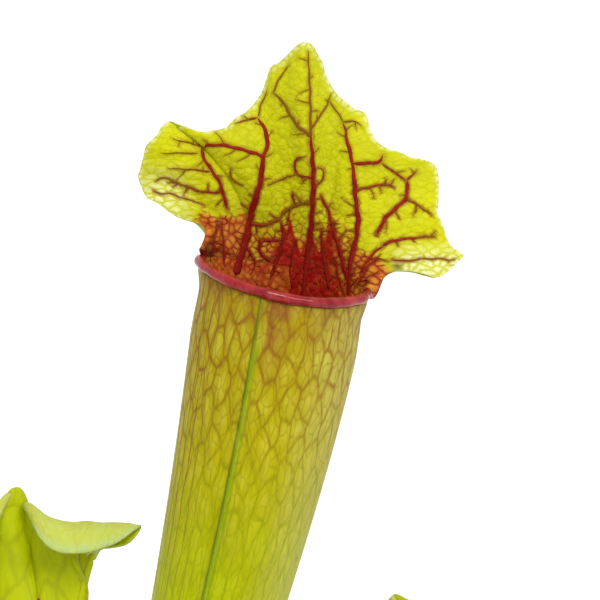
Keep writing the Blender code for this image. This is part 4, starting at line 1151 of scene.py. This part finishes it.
young_leaf = young_material()
for name in ("young_pitcher_1", "young_pitcher_2"):
    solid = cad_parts[name]
    copy = bpy.data.objects.new(name + "_skin", solid.data.copy())
    copy.matrix_world = solid.matrix_world.copy()
    copy.data.transform(copy.matrix_world)
    copy.matrix_world = Matrix.Identity(4)
    visual.objects.link(copy)
    welded = bmesh.new()
    welded.from_mesh(copy.data)
    bmesh.ops.remove_doubles(welded, verts=welded.verts, dist=1e-6)
    welded.to_mesh(copy.data)
    welded.free()
    copy.data.materials.clear()
    copy.data.materials.append(young_leaf)
    copy.data.shade_smooth()
    softened = copy.modifiers.new("softened", "SUBSURF")
    softened.levels = softened.render_levels = 2
    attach(copy, "root")
    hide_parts(name)

# The rhizome
# A knobbly brown crown from which the leaves grow, with its roots down in the soil. Dry bud scales
# still wrap the leaves' feet, and stubs of dead leaves stand on the older part.


def bark_material():
    n = Nodes("rhizome bark")
    where = n.place()
    mottle = n.noise(where, 260.0, 6.0)
    upward = {"bands_direction": "Z"}
    rings = n.add("ShaderNodeTexWave", upward, Vector=where, Scale=190.0, Distortion=6.0, Detail=3.0)
    rings = rings.outputs["Fac"]
    colour = n.mix(n.ramp(mottle, 0.3, 0.7), rgb(74, 46, 28), rgb(128, 90, 54))
    colour = n.mix(n.ramp(rings, 0.5, 0.9, 0.0, 0.45), colour, rgb(50, 32, 22))
    height = n.math("ADD", mottle, n.product(rings, 0.5))
    return n.finish(colour, 0.8, Normal=n.bump(height, 0.8, 0.001))


def scale_material():
    n = Nodes("dry bud scale")
    where = n.place()
    streaks = n.noise(n.stretched(where, 0.12), 1500.0, 3.0)
    colour = n.mix(n.ramp(streaks, 0.35, 0.65), rgb(112, 70, 38), rgb(176, 134, 82))
    foot = n.ramp(n.part_of(where, 2), 0.095, 0.103, 0.75, 0.0)
    colour = n.mix(foot, colour, rgb(86, 34, 26))
    return n.finish(colour, 0.65, Normal=n.bump(streaks, 0.6, 0.0004))


def dress(name, made_material):
    """Gives a solid of the frame its material."""
    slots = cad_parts[name].data.materials
    slots.clear()
    slots.append(made_material)


dress("rhizome", bark_material())


def bud_scale(built, leaf, turn_deg, low, high, room):
    """A dry sheath that wraps part of a leaf's foot and ends in a point."""
    columns, rows = 13, 14
    made = bmesh.ops.create_grid(built, x_segments=columns - 1, y_segments=rows, size=0.5)["verts"]
    length = leaf["mouth"][2] - FOOT_HEIGHT
    for vertex in made:
        across = vertex.co.x * 2.0
        row = round((vertex.co.y + 0.5) * rows) % rows
        outer = row < rows // 2
        step = row if outer else rows - 1 - row
        t = step / (rows // 2 - 1)
        sweep = math.radians(78.0) * (1.0 - 0.85 * t**2.2)
        theta = math.radians(turn_deg) + across * sweep
        z = low + (high - low) * t * (1.0 - 0.12 * across * across)
        thick = 0.5 * math.sqrt(max(0.0, 1.0 - across * across)) * (1.0 - 0.7 * t)
        curl = room + 0.9 * t * t + 0.25 * math.sin(across * 5.0 + turn_deg) * t
        out = curl + (thick if outer else 0.0)
        vertex.co = tube_point(leaf, theta, (z - FOOT_HEIGHT) / length, 0.0, 0.0, out)
    bmesh.ops.remove_doubles(built, verts=made, dist=0.004)


scales = bmesh.new()
for k, leaf in enumerate(PITCHERS):
    bud_scale(scales, leaf, 122.0 + 9.0 * (k % 3), 90.0, 107.0 + 3.0 * (k % 2), 0.45)
    bud_scale(scales, leaf, -118.0 - 7.0 * (k % 2), 90.0, 102.0 + 2.5 * (k % 3), 0.75)
dry_scale = scale_material()
piece("bud_scales", scales, dry_scale)

STUB_FOOT = 88.0
stubs = bmesh.new()
for x, y, radius, height, lean_x, lean_y in (
    (-27.5, 0.0, 2.5, 9.5, -0.3, 0.1),
    (-21.5, 5.0, 2.2, 13.0, -0.15, 0.35),
    (-31.5, 4.0, 1.9, 7.0, -0.45, 0.2),
    (-22.0, -3.5, 2.0, 8.5, -0.1, -0.4),
    (19.5, 8.0, 1.9, 8.0, 0.4, 0.2),
):
    lean = Vector((lean_x, lean_y, 1.0)).normalized()
    turn = lean.to_track_quat("Z", "Y").to_matrix().to_4x4()
    place = Matrix.Translation(Vector((x, y, STUB_FOOT)) + lean * (height / 2)) @ turn
    size = {"radius1": radius * 1.15, "radius2": radius, "depth": height}
    made = bmesh.ops.create_cone(stubs, cap_ends=True, segments=14, matrix=place, **size)
    for vertex in made["verts"]:
        ragged = noise.noise(vertex.co / 1.4)
        if (vertex.co - Vector((x, y, STUB_FOOT))).dot(lean) > height / 2:
            vertex.co += lean * (2.2 * ragged)
        dent_x = noise.noise(vertex.co / 2.0)
        dent_y = noise.noise(vertex.co / 2.0 + Vector((9, 9, 9)))
        vertex.co += Vector((dent_x, dent_y, 0.0)) * 0.5
piece("dead_leaf_stubs", stubs, dry_scale).data.shade_flat()

# The soil
# A moist peat mix, loose and dark, filled in round the crown to a little under the pot's rim. Its
# body is one closed skin. Crumbs, fibres and white perlite grains lie in its surface.

SOIL_LEVEL = 92.0
SOIL_FLOOR = 3.0
SOIL_SIDES = 220
POT_FOOT = 45.0
POT_SPREAD = 13.2
POT_HEIGHT = 105.0
POT_WALL = 1.8


def soil_material():
    n = Nodes("peat")
    where = n.place()
    mottle = n.noise(where, 420.0, 8.0)
    colour = n.mix(n.ramp(mottle, 0.3, 0.7), rgb(40, 28, 20), rgb(88, 64, 45))
    colour = n.mix(n.product(n.attribute("tone"), 0.6), colour, rgb(118, 86, 58))
    damp = n.ramp(n.noise(where, 40.0, 2.0), 0.45, 0.65, 0.0, 0.5)
    colour = n.mix(damp, colour, rgb(30, 21, 16))
    return n.finish(colour, 0.9, Normal=n.bump(mottle, 1.0, 0.002))


def soil_height(x, y):
    mound = 1.4 * (1.0 - float(smooth(math.hypot(x, y) / 50.0)))
    broad = 1.6 * noise.noise(Vector((x, y, 0.0)) / 11.0)
    crumbly = 0.7 * noise.noise(Vector((x, y, 3.0)) / 2.6)
    crumbly += 0.35 * noise.noise(Vector((x, y, 7.0)) / 1.1)
    return SOIL_LEVEL + mound + broad + crumbly


def inside_pot(height):
    return POT_FOOT + POT_SPREAD * height / POT_HEIGHT - POT_WALL


peat = soil_material()
dress("soil", peat)
around = np.linspace(0.0, math.tau, SOIL_SIDES, endpoint=False)
rings = [(0.0, SOIL_FLOOR), (inside_pot(SOIL_FLOOR) - 2.2, SOIL_FLOOR)]
rings += [(inside_pot(height) - 0.35, height) for height in (5.0, 34.0, 63.0, 90.0)]
rings += [(radius, None) for radius in np.linspace(inside_pot(SOIL_LEVEL) - 0.3, 0.0, 92)]
place = np.zeros((SOIL_SIDES, len(rings), 3))
for row, (radius, height) in enumerate(rings):
    place[:, row, 0], place[:, row, 1] = radius * np.cos(around), radius * np.sin(around)
    place[:, row, 2] = [soil_height(x, y) if height is None else height for x, y in place[:, row, :2]]
tone = {"tone": np.zeros(place.shape[:2])}
soil_body = skin_object("soil_body", SOIL_SIDES, len(rings), place, tone, peat)
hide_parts("soil")


def on_the_soil(chance, nearest, furthest):
    """A place on the soil's surface, in the ring between two distances from the middle."""
    away = math.sqrt(chance.uniform(nearest**2, furthest**2))
    turn = chance.uniform(0.0, math.tau)
    x, y = away * math.cos(turn), away * math.sin(turn)
    return Vector((x, y, soil_height(x, y)))


def grains(name, count, low, high, finest, made_material, seed, flat=0.7):
    """Irregular grains, each sunk by about a third into the soil."""
    chance = random.Random(seed)
    built = bmesh.new()
    layer = built.verts.layers.float.new("tone")
    for _ in range(count):
        size = low + (high - low) * chance.random() ** 2.2
        angle = chance.uniform(0.0, math.tau)
        axis = Vector([chance.uniform(-1, 1) for _ in range(3)]).normalized()
        turn = Matrix.Rotation(angle, 4, axis)
        breadth, thickness = size * chance.uniform(0.6, 1.0), size * chance.uniform(flat * 0.7, flat)
        spot = Matrix.Translation(on_the_soil(chance, 12.0, 52.8) + Vector((0.0, 0.0, size * 0.25)))
        place = spot @ turn @ Matrix.Diagonal((size, breadth, thickness, 1.0))
        made = bmesh.ops.create_icosphere(built, subdivisions=finest, radius=1.0, matrix=place)["verts"]
        tone = chance.random()
        centre = spot.to_translation()
        for vertex in made:
            swell = 1.0 + 0.5 * noise.noise(vertex.co * 1.3 / max(size, 0.5))
            vertex.co = centre + (vertex.co - centre) * swell
            vertex[layer] = tone
    return piece(name, built, made_material)


def perlite_material():
    n = Nodes("perlite")
    pits = n.noise(n.place(), 1700.0, 4.0)
    colour = n.mix(n.ramp(pits, 0.35, 0.6), rgb(196, 190, 178), rgb(236, 234, 228))
    return n.finish(colour, 0.85, Normal=n.bump(pits, 0.8, 0.0006))


grains("peat_crumbs", 1500, 0.35, 1.7, 1, peat, 11)
grains("perlite_grains", 80, 0.6, 1.7, 2, perlite_material(), 12, 0.9)

fibres = bmesh.new()
fibre_tone = fibres.verts.layers.float.new("tone")
chance = random.Random(13)
for _ in range(120):
    start = on_the_soil(chance, 14.0, 50.0)
    turn = chance.uniform(0.0, math.tau)
    bend = chance.uniform(-0.5, 0.5)
    reach = chance.uniform(2.0, 6.0)
    path = []
    for k in range(6):
        x = min(48.0, max(-48.0, start.x + math.cos(turn + bend * k / 2) * reach * k / 5))
        y = min(48.0, max(-48.0, start.y + math.sin(turn + bend * k / 2) * reach * k / 5))
        path.append((x, y, soil_height(x, y) + 0.25 + 0.25 * math.sin(k * 1.3 + bend * 9.0)))
    up = np.tile((0.0, 0.0, 1.0), (6, 1))
    tone = np.full(6, chance.uniform(0.3, 1.0))
    strand(fibres, fibre_tone, np.array(path), up, np.full(6, 0.3), 0.13, tone)
piece("peat_fibres", fibres, peat)

# The moss
# Living moss in small cushions round the crown and here and there by the pot's wall. It grows on the
# peat, and it hides the rooms between the leaves' feet and the crown.


def moss_material():
    n = Nodes("moss")
    mottle = n.noise(n.place(), 300.0, 3.0)
    colour = n.mix(n.attribute("tone"), rgb(58, 86, 20), rgb(142, 164, 48))
    colour = n.mix(n.ramp(mottle, 0.4, 0.7, 0.0, 0.5), colour, rgb(170, 172, 70))
    return n.finish(colour, 0.6, 0.25)


chance = random.Random(14)
cushions = [(on_the_soil(chance, 15.0, 27.0), chance.uniform(3.2, 6.0)) for _ in range(22)]
cushions += [(on_the_soil(chance, 30.0, 48.0), chance.uniform(2.0, 4.2)) for _ in range(11)]
for x, y in ((0.0, 9.0), (-8.0, -2.0), (8.0, 3.0), (1.0, -8.0), (-2.0, 15.0), (12.0, -11.0)):
    cushions.append((Vector((x, y, 96.5)), 3.6))
moss = bmesh.new()
moss_tone = moss.verts.layers.float.new("tone")
for centre, wide in cushions:
    shade = chance.uniform(-0.2, 0.2)
    for _ in range(int(10 * wide * wide / 2.4)):
        away, turn = wide * math.sqrt(chance.random()), chance.uniform(0.0, math.tau)
        x, y = centre.x + away * math.cos(turn), centre.y + away * math.sin(turn)
        dome = 1.0 - (away / wide) ** 2
        low = max(soil_height(x, y), centre.z - 0.4 * wide * (away / wide) ** 2)
        lean_x = math.cos(turn) * away / wide * 0.9 + chance.uniform(-0.45, 0.45)
        lean_y = math.sin(turn) * away / wide * 0.9 + chance.uniform(-0.45, 0.45)
        lean = Vector((lean_x, lean_y, 1.0)).normalized()
        length = chance.uniform(1.3, 2.4) * (0.6 + 0.5 * dome)
        spot = Vector((x, y, low + 0.9 * dome - 0.3)) + lean * (length / 2)
        flat = Matrix.Rotation(turn, 4, "Z") @ Matrix.Diagonal((1.0, 0.5, 1.0, 1.0))
        place = Matrix.Translation(spot) @ lean.to_track_quat("Z", "Y").to_matrix().to_4x4() @ flat
        size = {"radius1": 0.42, "radius2": 0.0, "depth": length}
        made = bmesh.ops.create_cone(moss, cap_ends=True, segments=4, matrix=place, **size)
        for vertex in made["verts"]:
            high = (vertex.co - spot).dot(lean) / length + 0.5
            vertex[moss_tone] = min(1.0, max(0.0, 0.25 + 0.55 * high + shade))
piece("moss_cushions", moss, moss_material())

# The pot
# A plain moulded pot of terracotta-coloured plastic, turned true, with a rounded rim over a plain
# band and round drain holes in its floor.


def pot_material():
    n = Nodes("pot plastic")
    where = n.place()
    grain = n.noise(where, 1500.0, 3.0)
    blotch = n.noise(where, 26.0, 4.0)
    high = n.part_of(where, 2)
    runs = n.noise(n.stretched(where, 0.06), 240.0, 3.0)
    colour = n.mix(n.ramp(blotch, 0.35, 0.65), rgb(168, 90, 60), rgb(182, 104, 72))
    colour = n.mix(n.ramp(grain, 0.35, 0.65, 0.0, 0.25), colour, rgb(196, 122, 90))
    limed = n.product(n.ramp(high, 0.0, 0.022, 0.25, 0.0), n.ramp(runs, 0.3, 0.8))
    colour = n.mix(limed, colour, rgb(206, 186, 168))
    splashed = n.product(n.ramp(high, 0.094, 0.104, 0.0, 0.35), n.ramp(blotch, 0.5, 0.62))
    colour = n.mix(splashed, colour, rgb(92, 60, 42))
    return n.finish(colour, 0.42, Normal=n.bump(grain, 0.14, 0.0004))


def rounded(corners):
    """A profile of (radius, height, round) corners, each corner eased by its own rounding."""
    points = []
    for k, (radius, height, ease) in enumerate(corners):
        here = np.array((radius, height))
        if ease == 0.0:
            points.append(here)
            continue
        before, after = np.array(corners[k - 1][:2]), np.array(corners[k + 1][:2])
        start, end = here + unit(before - here) * ease, here + unit(after - here) * ease
        for t in np.linspace(0.0, 1.0, 6):
            points.append(start * (1 - t) ** 2 + here * 2 * t * (1 - t) + end * t * t)
    return points


POT_FLOOR = 2.6
BAND_LOW = 90.0
DRAIN_HOLES = 8
DRAIN_RING = 31.0
DRAIN_RADIUS = 4.0
pot_plastic = pot_material()
dress("pot", pot_plastic)
pot_mesh = bmesh.new()
profile = rounded([
    (0.0, 0.0, 0.0),
    (POT_FOOT, 0.0, 1.3),
    (inside_pot(89.6) + POT_WALL, 89.6, 0.5),
    (59.7, BAND_LOW, 0.7),
    (60.0, POT_HEIGHT, 0.9),
    (56.4, POT_HEIGHT, 0.9),
    (inside_pot(89.0), 89.0, 0.6),
    (inside_pot(POT_FLOOR), POT_FLOOR, 1.8),
    (0.0, POT_FLOOR, 0.0),
])
corners = [pot_mesh.verts.new((radius, 0.0, height)) for radius, height in profile]
chain = [pot_mesh.edges.new(pair) for pair in zip(corners, corners[1:])]
bmesh.ops.spin(
    pot_mesh,
    geom=corners + chain,
    cent=(0, 0, 0),
    axis=(0, 0, 1),
    angle=math.tau,
    steps=168,
    use_merge=True,
)
bmesh.ops.remove_doubles(pot_mesh, verts=pot_mesh.verts, dist=0.001)
pot = piece("pot_body", pot_mesh, pot_plastic)
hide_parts("pot")
drills = bmesh.new()
for k in range(DRAIN_HOLES):
    turn = math.tau * (k + 0.5) / DRAIN_HOLES
    spot = Matrix.Translation((DRAIN_RING * math.cos(turn), DRAIN_RING * math.sin(turn), 0.0))
    size = {"radius1": DRAIN_RADIUS, "radius2": DRAIN_RADIUS, "depth": 9.0}
    bmesh.ops.create_cone(drills, cap_ends=True, segments=40, matrix=spot, **size)
bmesh.ops.scale(drills, vec=(MM, MM, MM), verts=drills.verts)
drill_mesh = bpy.data.meshes.new("drills")
drills.to_mesh(drill_mesh)
drills.free()
drill = bpy.data.objects.new("drills", drill_mesh)
visual.objects.link(drill)
cut = pot.modifiers.new("drain holes", "BOOLEAN")
cut.operation, cut.object = "DIFFERENCE", drill
bpy.context.view_layer.update()
drained = bpy.data.meshes.new_from_object(pot.evaluated_get(bpy.context.evaluated_depsgraph_get()))
pot.modifiers.clear()
pot.data = drained
drained.set_sharp_from_angle(angle=math.radians(50.0))
bpy.data.objects.remove(drill)

# The room
# A white floor and an even white light, as in a product photograph, and the camera, which stands
# where the photograph was taken from.

floor_mesh = bmesh.new()
bmesh.ops.create_circle(floor_mesh, cap_ends=True, segments=96, radius=16.0)
floor_data = bpy.data.meshes.new("floor")
floor_mesh.to_mesh(floor_data)
floor_mesh.free()
floor = bpy.data.objects.new("floor", floor_data)
visual.objects.link(floor)
floor_data.materials.append(Nodes("floor white").finish((0.93, 0.93, 0.93, 1.0), 0.9))

world = bpy.data.worlds.new("studio")
world.use_nodes = True
world.node_tree.nodes["Background"].inputs["Color"].default_value = (1.0, 1.0, 1.0, 1.0)
world.node_tree.nodes["Background"].inputs["Strength"].default_value = 0.98
scene.world = world


def lamp(name, kind, energy, place, aim, size):
    data = bpy.data.lights.new(name, kind)
    data.energy = energy
    if kind == "AREA":
        data.shape = "SQUARE"
        data.size = size
    else:
        data.angle = size
    made = bpy.data.objects.new(name, data)
    made.location = place
    made.rotation_euler = (Vector(aim) - Vector(place)).to_track_quat("-Z", "Y").to_euler()
    visual.objects.link(made)


lamp("sun", "SUN", 1.5, (0.1, -1.3, 1.8), (0.0, 0.0, 0.2), 0.35)
lamp("key", "AREA", 3.0, (0.5, -0.7, 0.8), (0.04, 0.0, 0.28), 0.35)

# The photograph's viewing angle: level with the lid and a little above it, from in front. It shows
# a width of 92.3 mm at the mouth, and a camera's sensor is 36 mm wide.
SEEN_WIDTH = 0.0923
SENSOR = 36.0
look = Vector((0.0, math.cos(CAMERA_TIP), -math.sin(CAMERA_TIP)))
up = Vector((0.0, math.sin(CAMERA_TIP), math.cos(CAMERA_TIP)))
right = Vector((1.0, 0.0, 0.0))
target = Vector((0.044, 0.014, 0.303)) + right * 0.0026 - up * 0.0023
camera_data = bpy.data.cameras.new("camera")
camera_data.sensor_width = SENSOR
camera_data.lens = SENSOR * CAMERA_AWAY * MM / SEEN_WIDTH
camera_data.clip_end = 100.0
camera = bpy.data.objects.new("camera", camera_data)
camera.location = target - look * (CAMERA_AWAY * MM)
camera.rotation_euler = look.to_track_quat("-Z", "Y").to_euler()
visual.objects.link(camera)
scene.camera = camera
scene.view_settings.view_transform = "Standard"
